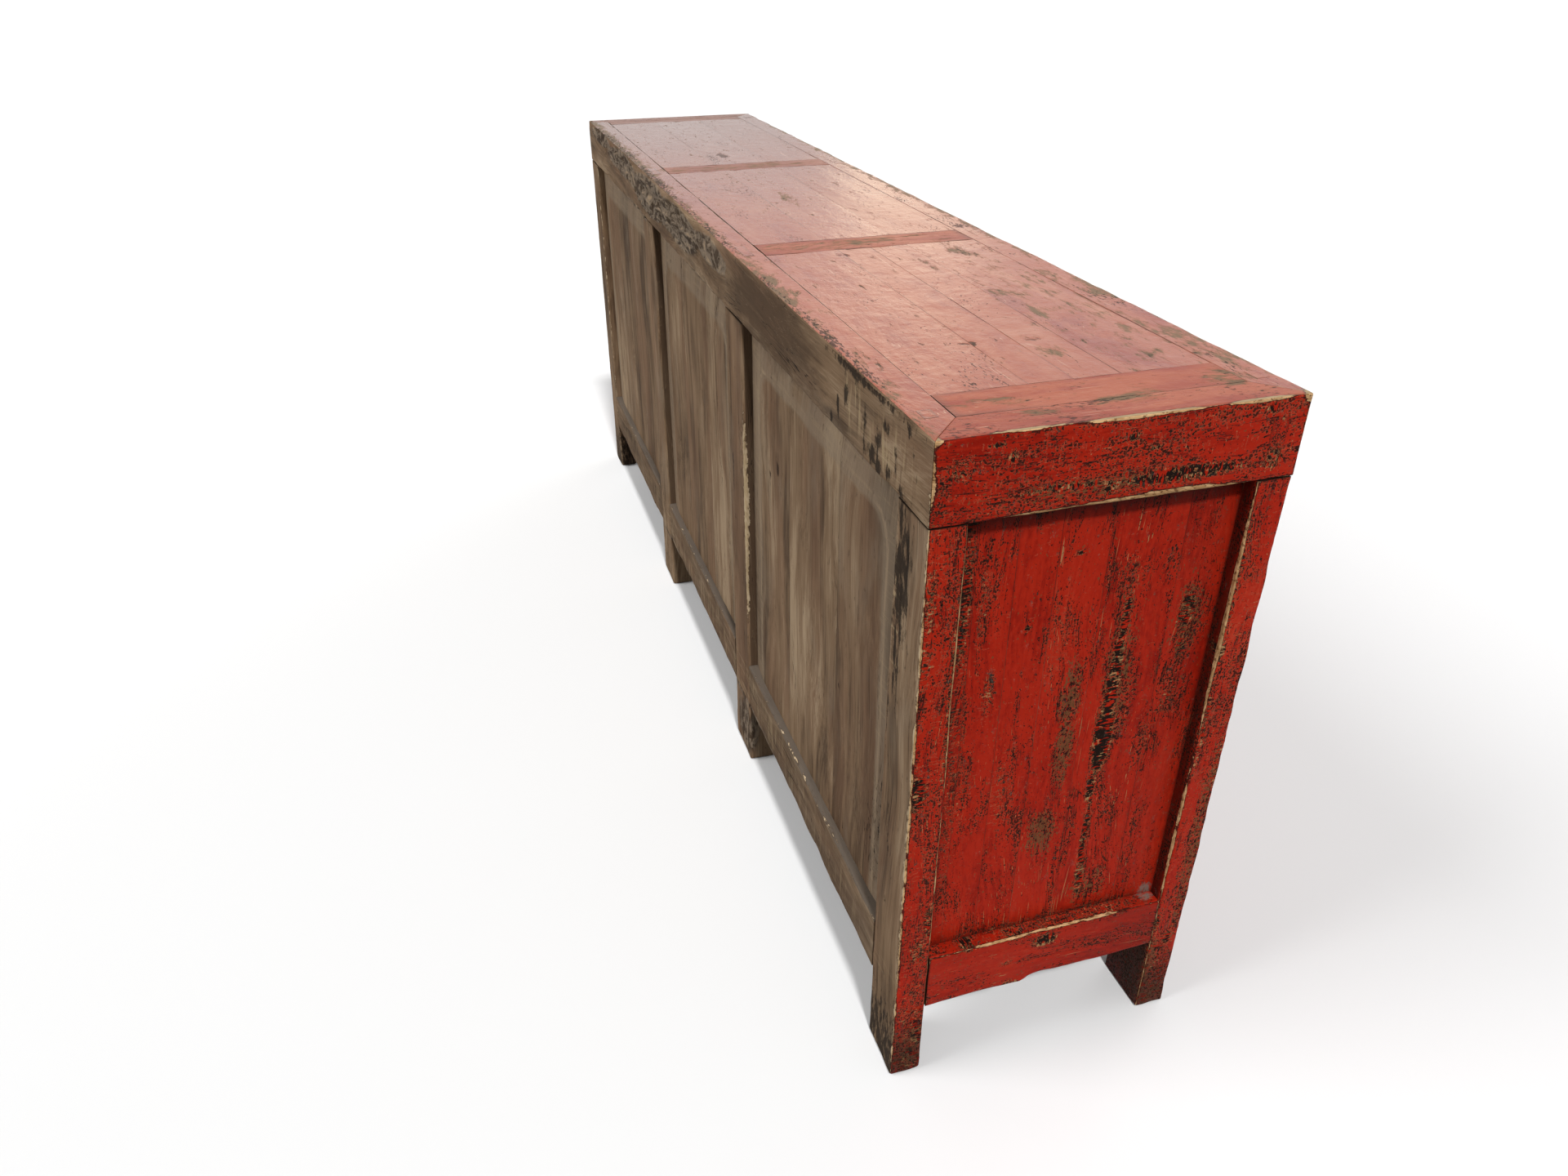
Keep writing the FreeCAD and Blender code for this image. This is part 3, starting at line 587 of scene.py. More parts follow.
def mitre(shaped, along, across):
    # the length shrinks from the outer arris to the other rails' inner edge
    outer, inner = (halfLength, halfDepth), (endInner, longInner)
    share = np.clip((np.abs(shaped[:, across]) - inner[across]) / (outer[across] - inner[across]), 0, 1)
    shaped[:, along] *= (inner[along] + share * (outer[along] - inner[along])) / outer[along]
    return shaped


def mitreLong(shaped, points):
    return mitre(shaped, 0, 1)


def mitreEnd(shaped, points):
    return mitre(shaped, 1, 0)


def raggedBackArris(points):
    # the upper back arris is eaten away, most of all over the far half
    upper = easeBelow(points[:, 2], topLevel, backRailWear["upperEdge"])
    far = ease(points[:, 0], *backRailWear["farHalf"])
    bites = layeredNoise(points * backRailWear["biteScale"], 3, backRailWear["biteSeed"])
    return 1 + upper * (backRailWear["nearBite"] + backRailWear["farBite"] * far) * bites


def carvedBackRail(shaped, points):
    # weathered hollows on the far half, up to a few millimetres deep
    outer = easeBelow(points[:, 1], halfDepth, backRailWear["outerFace"])
    uneven = layeredNoise(points * backRailWear["hollowScale"], 4, backRailWear["hollowSeed"])
    hollow = ease(uneven, *backRailWear["hollow"])
    place = np.clip(placeStrength("gouge", points), 0, 1)
    shaped[:, 1] -= backRailWear["hollowDepth"] * outer * hollow * place
    return mitreLong(shaped, points)


def wornRearStrip(marks, points, shaped):
    # the top face is worn to grey wood along its rear arris
    top = easeBelow(points[:, 2], topLevel, backRailWear["topFace"])
    far = ease(points[:, 0], *backRailWear["greyPlace"])
    grey = backRailWear["nearGrey"] + backRailWear["moreGrey"] * far
    rear = easeBelow(shaped[:, 1], halfDepth, backRailWear["rearStrip"])
    marks["brown"] = np.maximum(marks["brown"], top * rear * grey)
    marks["rub"] = marks["rub"] * (1 - ease(points[:, 2], frameUnder, topLevel))


def tenonEnds(side):
    # the long rail's two tenon ends, seen on the end rails
    start = longInner + railTenon["inset"]
    y = np.sort(side * np.array([start, start + railTenon["width"]]))
    z = topLevel - railTenon["drop"] - np.array([railTenon["height"], 0])
    root = halfLength - tenonLook["depth"]
    return [board((x[0], y[0], z[0]), (x[1], y[1], z[1]), "x", "rrbbbb", "xX", tenonLook)
            for x in ((-halfLength, -root), (root, halfLength))]


for end, side in ends.items():
    x = sorted((side * endInner, side * (halfLength - flush)))
    rail = board((x[0], -halfDepth, frameUnder), (x[1], halfDepth, topLevel), "y",
                 *endFaces(side, "bbrf", "yYzZ"), topFrameLook, warp=mitreEnd,
                 step=topFrameLook["endStep"][end], rubGain=0.55, tone=-0.9, pitted=0.24)
    makePiece(f"top_{end}_end_rail", [rail])
backRail = board((-halfLength, longInner, frameUnder), (halfLength, halfDepth, topLevel - flush), "x",
                 "bbbbbf", "xXYzZ", topFrameLook, warp=carvedBackRail, chips=raggedBackArris,
                 marks=wornRearStrip, rubGain=0.35, step=0.005)
makePiece("top_back_rail", [backRail] + tenonEnds(1))
frontRail = board((-halfLength, -halfDepth, frameUnder), (halfLength, -longInner, topLevel - flush), "x",
                  "bbrbrf", "xXyzZ", topFrameLook, warp=mitreLong)
makePiece("top_front_rail", [frontRail] + tenonEnds(-1))
print("top frame made")


# Cross battens, end strips and the boards between them
crossLook = {"arris": 0.0008, "endArris": 0.0006, "tight": 0.0006, "step": 0.007, "wear": 0.5,
             "relief": 0.0010, "rubWidth": 0.0015, "rubGain": 0.0, "seamWidth": 0.0012, "tone": -0.9,
             "tongue": 0.008}
topBoardLook = {"arris": 0.0006, "endArris": 0.0004, "tight": 0.00004, "step": 0.007, "wear": 0.2,
                "relief": 0.0014, "reliefSeed": 17, "sideRelief": 0.03, "rubWidth": 0.001, "rubGain": 0.0,
                "seamWidth": 0.0006, "seamGain": 0.75, "toneSpread": 0.08, "lineRadius": np.full(3, 0.0012),
                "thickness": 0.018, "boards": 3, "splitAt": 0.002}
crossUnder = nodeBox["top_left_batten"][0][2]


def crossMember(x):
    # a board across the top, between the long rails
    low, high = (x[0], -longInner, crossUnder), (x[1], longInner, topLevel)
    return board(low, high, "y", "bbbbbf", "Z", crossLook)


battens = {side: [corner[0] for corner in nodeBox[f"top_{side}_batten"]] for side in ends}
strips = {"left": (nodeBox["top_end_strips"][0][0], nodeBox["top_left_panel"][0][0] + crossLook["tongue"]),
          "right": (nodeBox["top_right_panel"][1][0] - crossLook["tongue"], nodeBox["top_end_strips"][1][0])}
makePiece("top_end_strips", [crossMember(x) for x in strips.values()])
for side, x in battens.items():
    makePiece(f"top_{side}_batten", [crossMember(x)])
topFields = {"left": (strips["left"][1], battens["left"][0]),
             "middle": (battens["left"][1], battens["right"][0]),
             "right": (battens["right"][1], strips["right"][0])}
for name, x in topFields.items():
    edges = np.linspace(-longInner, longInner, topBoardLook["boards"] + 1)
    if name == "left":
        edges = np.sort(np.append(edges, topBoardLook["splitAt"]))      # the middle board has split
    under = topLevel - topBoardLook["thickness"]
    boards = [board((x[0], low, under), (x[1], high, topLevel), "x", "bbbbbf", "Z", topBoardLook)
              for low, high in neighbours(edges)]
    makePiece(f"top_{name}_panel", boards)
print("top boards made")


# Posts, with tenon ends that show on the top's long rails
postLook = {"arris": 0.004, "endArris": 0.005, "tight": 0.0008, "step": 0.007, "wear": 0.8, "relief": 0.0010,
            "rubWidth": 0.0028, "rubGain": 0.75, "seamWidth": 0.0012, "pitted": 0.26, "tenonInset": 0.012,
            "tenonThickness": 0.016, "cornerTenon": 0.022, "innerTenon": 0.060, "cornerTenonGap": 0.004}
postFinish = {"back_left_corner": "rbrbbb", "back_right_corner": "brrbbb", "back_left_inner": "bbbbbb",
              "back_right_inner": "bbbbbb", "front_left_corner": "rrrrbb", "front_right_corner": "rrrrbb",
              "front_left_inner": "rrrbbb", "front_right_inner": "rrrbbb"}
# painted shade on the inner posts' sides and in the corner posts' recess, and darkening at the feet: each
# pair is where a change starts and ends
postDarkening = {"skin": (0.0016, 0.0004), "behindFace": (0.003, 0.006), "overFoot": (0.15, 0.25), "reveal": 1.5,
            "panelRecess": (0.003, 0.007), "recess": 0.95, "footHeight": (0.18, 0.03), "foot": 0.74}


def paintedRevealShade(marks, points, shaped):
    # painted shade: the sides of the back's inner posts are darkened
    side = np.minimum(points[:, 0] - points[:, 0].min(), points[:, 0].max() - points[:, 0])
    reveal = ease(side, *postDarkening["skin"]) * easeBelow(points[:, 1], halfDepth, postDarkening["behindFace"])
    dirt = postDarkening["reveal"] * reveal * ease(points[:, 2], *postDarkening["overFoot"])
    marks["brown"] = np.maximum(marks["brown"], dirt)


def recessShadeAndDarkFoot(marks, points, shaped):
    # painted shade where the end panel lies back from a corner post's face; the post is also darker at its
    # foot
    inside = ease(np.abs(points[:, 1]) - postInner, *postDarkening["skin"])
    recess = inside * ease(halfLength - np.abs(points[:, 0]), *postDarkening["panelRecess"])
    foot = postDarkening["foot"] * ease(points[:, 2], *postDarkening["footHeight"])
    marks["soot"] = np.maximum.reduce([marks["soot"], postDarkening["recess"] * recess, foot])


def postTenon(name, middle, face):
    # the end of the post's tenon, level with the top
    if "corner" in name:
        x = endInner - postLook["cornerTenonGap"] - np.array([postLook["cornerTenon"], 0])
        x = np.sort(np.sign(middle) * x)
    else:
        x = middle + postLook["innerTenon"] / 2 * np.array([-1, 1])
    y = np.sort(face * (halfDepth - postLook["tenonInset"] - np.array([postLook["tenonThickness"], 0])))
    low, high = (x[0], y[0], topLevel - tenonLook["depth"]), (x[1], y[1], topLevel)
    return board(low, high, "z", "bbbbbf", "Z", tenonLook)


for name, finish in postFinish.items():
    low, high = nodeBox[name + "_post"]
    face = 1 if name.startswith("back") else -1
    isBareInner = name.startswith("back") and "inner" in name
    more = {}
    if isBareInner:
        more = {"marks": paintedRevealShade, "rubGain": 0.25}
    elif "corner" in name:
        more = {"marks": recessShadeAndDarkFoot}
    if "left_corner" in name:
        more |= {"step": 0.005, "tone": 0.9}
    post = board(low, (high[0], high[1], frameUnder), "z", finish, "xXyYz", postLook, **more)
    tenon = postTenon(name, (low[0] + high[0]) / 2, face)
    makePiece(name + "_post", [post, tenon])
print("posts made")


# Rails between the posts
railLook = {"arris": 0.005, "endArris": 0.0006, "tight": 0.0006, "step": 0.007, "wear": 0.8, "relief": 0.0012,
            "rubWidth": 0.0045, "rubGain": 0.6, "seamWidth": 0.0012, "frontArris": 0.003, "backBites": 0.007,
            "endBites": 0.005, "endStep": {"left": 0.004, "right": 0.007}}
# wear of the rails: each pair is where a change starts and ends
railWear = {"stain": 0.70, "ledgeEdge": (0.006, 0.001), "ledgeDust": 0.9, "leastSoot": 0.30, "moreSoot": 0.16,
            "towardsFront": (0.02, -0.14), "underStep": 0.007, "stepPlace": (0.030, 0.016),
            "stepHeight": 0.05}
bays = {"left": (nodeBox["back_left_corner_post"][1][0], nodeBox["back_left_inner_post"][0][0]),
        "middle": (nodeBox["back_left_inner_post"][1][0], nodeBox["back_right_inner_post"][0][0]),
        "right": (nodeBox["back_right_inner_post"][1][0], nodeBox["back_right_corner_post"][0][0])}


def dustyLedge(marks, points, shaped):
    # dark dust lies on the ledge of the rail, and its face is stained
    ledge = easeBelow(points[:, 2], lowerTop, railWear["ledgeEdge"])
    marks["brown"] = np.maximum(marks["brown"], railWear["stain"])
    marks["dust"] = np.maximum(marks["dust"], railWear["ledgeDust"] * ledge)


def darkerTowardsFront(marks, points, shaped):
    # darker all over, and more so towards the front
    front = ease(points[:, 1], *railWear["towardsFront"])
    marks["soot"] = np.maximum(marks["soot"], railWear["leastSoot"] + railWear["moreSoot"] * front)


def steppedUnderside(shaped, points):
    # the end rail's lower edge steps up towards the front
    lower = np.clip(1 - (points[:, 2] - points[:, 2].min()) / railWear["stepHeight"], 0, 1)
    shaped[:, 2] += railWear["underStep"] * lower * ease(shaped[:, 1], *railWear["stepPlace"])
    return shaped


def bayRail(node, x, finish, shown, **more):
    # a rail of the node, cut to the bay
    low, high = nodeBox[node]
    return board((x[0], low[1], low[2]), (x[1], high[1], high[2]), "x", finish, shown, railLook, **more)


for bay, x in bays.items():
    name = f"lower_back_{bay}_rail"
    rail = bayRail(name, x, "bbbbbb", "YzZ", raggedUnder=railLook["backBites"], marks=dustyLedge, rubGain=0.4)
    makePiece(name, [rail])
for name in ("lower_front_rails", "drawer_rails"):
    rails = [bayRail(name, x, "bbrbrr", "yzZ", arris=railLook["frontArris"]) for x in bays.values()]
    makePiece(name, rails)
for end, side in ends.items():
    name = f"lower_{end}_end_rail"
    low, high = nodeBox[name]
    rail = board((low[0], -postInner, low[2]), (high[0], postInner, high[2]), "y",
                 *endFaces(side, "bbrr", "zZ"), railLook, step=railLook["endStep"][end],
                 raggedUnder=railLook["endBites"], warp=steppedUnderside, marks=darkerTowardsFront)
    makePiece(name, [rail])
print("rails made")


# Back panels: boards with a raised field that slopes down to the sides and the top
backPanelLook = {"arris": 0.0008, "endArris": 0.0008, "tight": 0.0005, "step": 0.009, "wear": 0.4,
                 "relief": 0.0012, "reliefSeed": 29, "sideRelief": 0.03, "rubWidth": 0.001, "rubGain": 0.0,
                 "seamWidth": 0.0004, "seamGain": 0.7, "nearStep": 0.006, "rise": 0.004, "slope": 0.048,
                 "corner": 0.045, "boards": 3, "sunk": 0.004, "outerFace": (0.006, 0.001),
                 "ridgeInset": 0.001, "ridgeWidth": 0.006, "paleGain": 0.70, "paleEdge": (-0.002, 0.006)}


def raisedField(x, outer):
    # height falls evenly with the distance outside a round-cornered field
    slope, corner = backPanelLook["slope"], backPanelLook["corner"]

    def fieldDistance(points):
        beside = np.minimum(points[:, 0] - x[0], x[1] - points[:, 0])
        sideways = np.maximum(0, slope + corner - beside)
        upward = np.maximum(0, slope + corner - (frameUnder - points[:, 2]))
        return np.hypot(sideways, upward) - corner

    def warp(shaped, points):
        outside = easeBelow(points[:, 1], outer, backPanelLook["outerFace"])
        height = 1 - np.clip(fieldDistance(points) / slope, 0, 1)
        shaped[:, 1] += backPanelLook["rise"] * height * outside
        return shaped

    def paleSlope(marks, points, shaped):
        distance = fieldDistance(points)
        ridge = np.exp(-((distance + backPanelLook["ridgeInset"]) / backPanelLook["ridgeWidth"]) ** 2)
        marks["bleach"] = backPanelLook["paleGain"] * ease(distance, *backPanelLook["paleEdge"]) + ridge

    return {"warp": warp, "marks": paleSlope}


for bay, x in bays.items():
    name = f"back_{bay}_panel"
    low, high = nodeBox[name]
    outer = high[1] - backPanelLook["rise"]
    sunk = backPanelLook["sunk"]
    more = raisedField(x, outer)
    if bay == "left":
        more["step"] = backPanelLook["nearStep"]
    edges = np.linspace(x[0] - sunk, x[1] + sunk, backPanelLook["boards"] + 1)
    boards = [board((first, low[1], lowerTop - sunk), (second, outer, frameUnder + sunk), "z", "bbbbbb", "Y",
                    backPanelLook, **more) for first, second in neighbours(edges)]
    makePiece(name, boards)


# End panels of upright boards; their widths run from the back, and the last board takes the rest
endPanelLook = {"arris": 0.0006, "endArris": 0.0004, "tight": 0.0004, "wear": 0.3, "relief": 0.0010,
                "reliefSeed": 23, "sideRelief": 0.03, "rubWidth": 0.001, "rubGain": 0.0, "seamWidth": 0.0003,
                "seamGain": 0.95, "sunk": 0.003, "endStep": {"left": 0.004, "right": 0.007},
                "boardWidths": (0.023, 0.045, 0.048, 0.059, 0.090)}
# painted shade on the end panels under the frame, beside the posts and over the lower rail, and a darkening
# towards the front: each of the first pairs is how strong it is and how far it reaches
endPanelShade = {"underFrame": (1.60, 0.018), "besideRear": (1.0, 0.013), "besideFront": (0.75, 0.005),
                "overRail": (0.72, 0.018), "front": 0.36, "towardsFront": (0.0, -0.15)}


def paintedPanelShade(marks, points, shaped):
    # painted shade fades away from the frame round the panel, and the panel darkens towards the front
    under = fading(frameUnder - shaped[:, 2], *endPanelShade["underFrame"])
    inward = postInner - np.abs(shaped[:, 1])
    beside = np.where(shaped[:, 1] > 0, fading(inward, *endPanelShade["besideRear"]),
                      fading(inward, *endPanelShade["besideFront"]))
    over = fading(shaped[:, 2] - lowerTop, *endPanelShade["overRail"])
    front = endPanelShade["front"] * ease(shaped[:, 1], *endPanelShade["towardsFront"])
    marks["soot"] = np.maximum.reduce([marks["soot"], under, beside, over, front])


for end, side in ends.items():
    name = f"{end}_end_panel"
    low, high = nodeBox[name]
    sunk = endPanelLook["sunk"]
    edges = postInner - np.cumsum((0,) + endPanelLook["boardWidths"])
    edges = np.concatenate([[postInner + sunk], edges[1:], [-postInner - sunk]])
    boards = [board((low[0], second, lowerTop - sunk), (high[0], first, frameUnder + sunk), "z",
                    *endFaces(side, "bbbb"), endPanelLook, step=endPanelLook["endStep"][end],
                    marks=paintedPanelShade) for first, second in neighbours(edges)]
    makePiece(name, boards)
print("panels made")


# Floor boards, their bearers and the drawer runners, seen only when the doors stand open
insideLook = {"arris": 0.0012, "endArris": 0.0010, "tight": 0.0006, "step": 0.025, "wear": 0.5,
              "relief": 0.0006, "rubWidth": 0.002, "rubGain": 0.2, "seamWidth": 0.0015, "bleach": 0.75,
              "tone": 0.9, "floorBoards": 3, "bearerWidth": 0.040, "runnerBearing": 0.030,
              "runnerDepth": 0.028, "guide": 0.020}
innerPosts = [np.mean([corner[0] for corner in nodeBox[f"back_{side}_inner_post"]]) for side in ends]
drawerRailTop = nodeBox["drawer_rails"][1][2]


def crossBoard(x, z, shown):
    # a board from front posts to back posts
    return board((x[0], -postInner, z[0]), (x[1], postInner, z[1]), "y", "bbbbbb", shown, insideLook)


low, high = nodeBox["floor_boards"]
lengths = neighbours([low[0]] + innerPosts + [high[0]])
edges = np.linspace(low[1], high[1], insideLook["floorBoards"] + 1)
boards = [board((first, near, low[2]), (second, far, high[2]), "x", "bbbbbb", "Z", insideLook)
          for first, second in lengths for near, far in neighbours(edges)]
makePiece("floor_boards", boards)
low, high = nodeBox["floor_bearers"]
half = insideLook["bearerWidth"] / 2
middles = [low[0] + half, high[0] - half] + innerPosts + [sum(x) / 2 for x in bays.values()]
bearers = [crossBoard((x - half, x + half), (low[2], high[2]), "xXz") for x in middles]
makePiece("floor_bearers", bearers)
runners = []
for x in bays.values():
    for edge, inward in ((x[0], 1), (x[1], -1)):
        outer = edge - inward * insideLook["guide"]
        runnerX = np.sort([outer, edge + inward * insideLook["runnerBearing"]])
        runnerZ = (drawerRailTop - insideLook["runnerDepth"], drawerRailTop)
        runners.append(crossBoard(runnerX, runnerZ, "xXzZ"))
        guideZ = (drawerRailTop, drawerRailTop + insideLook["guide"])
        runners.append(crossBoard(np.sort([outer, edge]), guideZ, "xXZ"))
makePiece("drawer_runners", runners)
print("inside made")


# Doors: a round-edged hinge stile with its pins, a free stile, two rails and a panel
doorLook = {"arris": 0.0018, "endArris": 0.0010, "tight": 0.0005, "step": 0.008, "wear": 0.7,
            "relief": 0.0007, "rubWidth": 0.0035, "rubGain": 0.75, "seamWidth": 0.0010, "bleach": 0.75,
            "tone": 0.9, "stile": 0.056, "rail": 0.056, "panelRecess": 0.005, "panelThickness": 0.011,
            "sunk": 0.003, "roundPlay": 0.00005, "pinRadius": 0.006, "pinBelow": 0.006, "pinAbove": 0.016,
            "pinRoot": 0.002, "pinBevel": 0.001}
redFront = "rrrbrr"         # red all round but for the bare back


def hingeStile(low, high, side):
    # the hinge edge is half round, as deep as the door is thick
    halfRound = (high[1] - low[1]) / 2 - doorLook["roundPlay"]
    outer = low[0] if side > 0 else high[0]

    def radiusAt(points):
        onRound = np.abs(points[:, 0] - outer) <= halfRound
        radii = np.full((len(points), 3), doorLook["arris"])
        radii[onRound, :2] = halfRound
        return radii

    roundLines = halfRound / boardMaking["arrisReach"]
    lineRadius = np.array([roundLines, roundLines, doorLook["endArris"]])
    return board(low, high, "z", redFront, "xXyzZ", doorLook, wear=0.0, radiusAt=radiusAt,
                 lineRadius=lineRadius)


def doorParts(name, side):
    # two stiles, two rails between them, a panel set back in the frame and two pins
    low, high = nodeBox[name]
    low = low + np.array([0, 0, doorLook["pinBelow"]])
    high = high - np.array([0, 0, doorLook["pinAbove"]])
    rail, sunk = doorLook["rail"], doorLook["sunk"]
    x = (low[0] + doorLook["stile"], high[0] - doorLook["stile"])
    stiles = [(low, (x[0], high[1], high[2])), ((x[1], low[1], low[2]), high)]
    hinge, free = stiles[::side]
    parts = [hingeStile(*hinge, side), board(*free, "z", redFront, "xXyzZ", doorLook)]
    for z in ((low[2], low[2] + rail), (high[2] - rail, high[2])):
        parts.append(board((x[0], low[1], z[0]), (x[1], high[1], z[1]), "x", redFront, "yzZ", doorLook))
    panelFront = low[1] + doorLook["panelRecess"]
    panelBack = panelFront + doorLook["panelThickness"]
    parts.append(board((x[0] - sunk, panelFront, low[2] + rail - sunk),
                       (x[1] + sunk, panelBack, high[2] - rail + sunk), "z", redFront, "y", doorLook))
    halfThick = (high[1] - low[1]) / 2
    pinX = low[0] + halfThick if side > 0 else high[0] - halfThick
    pinY = (low[1] + high[1]) / 2
    radius, bevel = doorLook["pinRadius"], doorLook["pinBevel"]
    for start, stop in ((low[2] - doorLook["pinBelow"], low[2] + doorLook["pinRoot"]),
                        (high[2] - doorLook["pinRoot"], high[2] + doorLook["pinAbove"])):
        profile = [(radius - bevel, start), (radius, start + bevel), (radius, stop - bevel),
                   (radius - bevel, stop)]
        parts.append(turned(profile, (pinX, pinY, 0), 2, "b", segments=24))
    return parts


for bay in bays:
    for hand, side in (("left", 1), ("right", -1)):
        name = f"{bay}_bay_{hand}_door"
        makePiece(name, doorParts(name, side), name)
print("doors made")


# Drawers: a front, two sides, a back and a bottom
drawerLook = {"arris": 0.0018, "endArris": 0.0012, "tight": 0.0005, "step": 0.009, "wear": 0.7,
              "relief": 0.0006, "rubWidth": 0.0035, "rubGain": 0.75, "seamWidth": 0.0010, "bleach": 0.75,
              "tone": 0.9, "front": 0.020, "side": 0.012, "back": 0.012, "bottom": 0.007, "bottomLift": 0.006,
              "bottomSunk": 0.004, "gap": 0.0015, "headroom": 0.008, "insideStep": 0.02}


def drawerParts(name):
    # a front that fills its opening, and behind it two sides, a back and a bottom let into them
    low, high = nodeBox[name]
    sideTop = frameUnder - drawerLook["headroom"]
    frontY = low[1] + drawerLook["front"]
    backY = high[1] - drawerLook["back"]
    frontZ = (drawerRailTop + drawerLook["gap"], frameUnder - drawerLook["gap"])
    x = (low[0] + drawerLook["side"], high[0] - drawerLook["side"])
    bottom = (low[2] + drawerLook["bottomLift"], low[2] + drawerLook["bottomLift"] + drawerLook["bottom"])
    sunk = drawerLook["bottomSunk"]
    inside = drawerLook | {"step": drawerLook["insideStep"]}

    def bare(first, second, along, shown):
        return board(first, second, along, "bbbbbb", shown, inside)

    return [
        board((low[0], low[1], frontZ[0]), (high[0], frontY, frontZ[1]), "x", redFront, "xXyzZ", drawerLook),
        bare((low[0], frontY, low[2]), (x[0], high[1], sideTop), "y", "xXZ"),
        bare((x[1], frontY, low[2]), (high[0], high[1], sideTop), "y", "xXZ"),
        bare((x[0], backY, bottom[1]), (x[1], high[1], sideTop), "x", "yYZ"),
        bare((x[0] - sunk, frontY - sunk, bottom[0]), (x[1] + sunk, high[1], bottom[1]), "x", "zZ"),
    ]


for bay in bays:
    makePiece(f"{bay}_drawer", drawerParts(f"{bay}_drawer"), f"{bay}_drawer")
print("drawers made")


# Brass pulls: a thin plate with two ears and a pin, and the ring that swings on the pin
pullLook = {"arris": 0.0005, "endArris": 0.0005, "tight": 0.0003, "step": 0.002, "wear": 0.2,
            "relief": 0.0001, "rubWidth": 0.002, "rubGain": 0.8, "seamWidth": 0.0003, "tone": 0.8,
            "plate": 0.0015, "eye": 0.004, "eyeLength": 0.007, "sideGap": 0.0004, "ear": 0.005,
            "earSunk": 0.0005, "pinRadius": 0.002, "pinReach": 0.0065, "pinInset": 0.001, "pinBevel": 0.0003,
            "ringRadius": 0.014, "wire": 0.0022, "ringDrop": 0.008, "neckGap": 0.0034}


def rounded(radius, start, stop, bevel=0.0006):
    # the outline of a rod with rounded ends, three points to each round
    inset = 0.3 * bevel
    return [(radius - bevel, start), (radius - inset, start + inset), (radius, start + bevel),
            (radius, stop - bevel), (radius - inset, stop - inset), (radius - bevel, stop)]


def brassBoard(low, high, along="z", shown="xXyzZ", **more):
    # a small board of brass on all sides
    return board(low, high, along, "mmmmmm", shown, pullLook, **more)


def discPlate(low, high):
    # a square grid pressed into a disc: each coordinate shrinks as the other grows
    middle, radius = (np.array(low) + np.array(high)) / 2, (high[0] - low[0]) / 2

    def warp(shaped, points):
        u, w = (shaped[:, 0] - middle[0]) / radius, (shaped[:, 2] - middle[2]) / radius
        shaped[:, 0] = middle[0] + radius * u * np.sqrt(1 - w * w / 2)
        shaped[:, 2] = middle[2] + radius * w * np.sqrt(1 - u * u / 2)
        return shaped

    return brassBoard(low, high, warp=warp)


def halfPlate(low, high, side):
    # the width at each height follows the circle, from the straight edge outwards
    radius, middle = (high[2] - low[2]) / 2, (low[2] + high[2]) / 2
    straight = high[0] if side > 0 else low[0]
    width = high[0] - low[0]
    tipShare = 0.985

    def warp(shaped, points):
        height = np.clip((shaped[:, 2] - middle) / radius, -tipShare, tipShare)
        w = np.sin(np.pi / 2 * height)
        reach = np.sqrt(1 - w * w)
        shaped[:, 2] = middle + radius * w
        shaped[:, 0] = straight + (shaped[:, 0] - straight) * (reach * radius - (radius - width)) / width
        return shaped

    return brassBoard(low, high, warp=warp)


def pullParts(name):
    # all is placed from the pin, which runs through the eye at the top of the ring
    low, high = nodeBox[name + "_plate"]
    ringLow, ringHigh = nodeBox[name + "_ring"]
    eye, ear = pullLook["eye"], pullLook["ear"]
    x = (ringLow[0] + ringHigh[0]) / 2
    y = ringLow[1] + eye
    z = ringHigh[2] - eye
    plateFront = y + pullLook["pinReach"]
    plateBack = plateFront + pullLook["plate"]
    if "drawer" in name:
        radius = (high[0] - low[0]) / 2
        plate = discPlate((x - radius, plateFront, z - radius), (x + radius, plateBack, z + radius))
    else:
        side = 1 if "left_door" in name else -1
        plate = halfPlate((low[0], plateFront, low[2]), (high[0], plateBack, high[2]), side)

    # two ears on the plate, with the pin through them
    fixed = [plate]
    earStart = pullLook["eyeLength"] / 2 + pullLook["sideGap"]
    for start in (x - earStart - ear, x + earStart):
        stop = start + ear
        fixed.append(turned(rounded(eye, start, stop), (0, y, z), 0, "m", segments=28))
        foot = plateFront + pullLook["earSunk"]
        fixed.append(brassBoard((start, y, z - eye), (stop, foot, z + eye), "y", "xXzZ"))
    pinEnd = earStart + ear - pullLook["pinInset"]
    pin = rounded(pullLook["pinRadius"], x - pinEnd, x + pinEnd, pullLook["pinBevel"])
    fixed.append(turned(pin, (0, y, z), 0, "m", segments=20))

    # an eye on the pin, a short neck and the ring
    halfEye = pullLook["eyeLength"] / 2
    ringZ = z - pullLook["ringDrop"] - pullLook["ringRadius"]
    neck = [(pullLook["wire"], ringZ + pullLook["ringRadius"]), (pullLook["wire"], z - pullLook["neckGap"])]
    swinging = [turned(rounded(eye, x - halfEye, x + halfEye), (0, y, z), 0, "m", segments=28),
                turned(neck, (x, y, 0), 2, "m", segments=16),
                torus((x, y, ringZ), pullLook["ringRadius"], pullLook["wire"], "m")]
    return fixed, swinging


holders = [f"{bay}_drawer" for bay in bays] + [f"{bay}_bay_{hand}_door" for bay in bays for hand in ends]
for name in holders:
    fixed, swinging = pullParts(name)
    makePiece(name + "_plate", fixed, name)
    makePiece(name + "_ring", swinging, name + "_ring")
print("pulls made")


# Finishes, drawn by nodes on each board's own grain, wear and stain

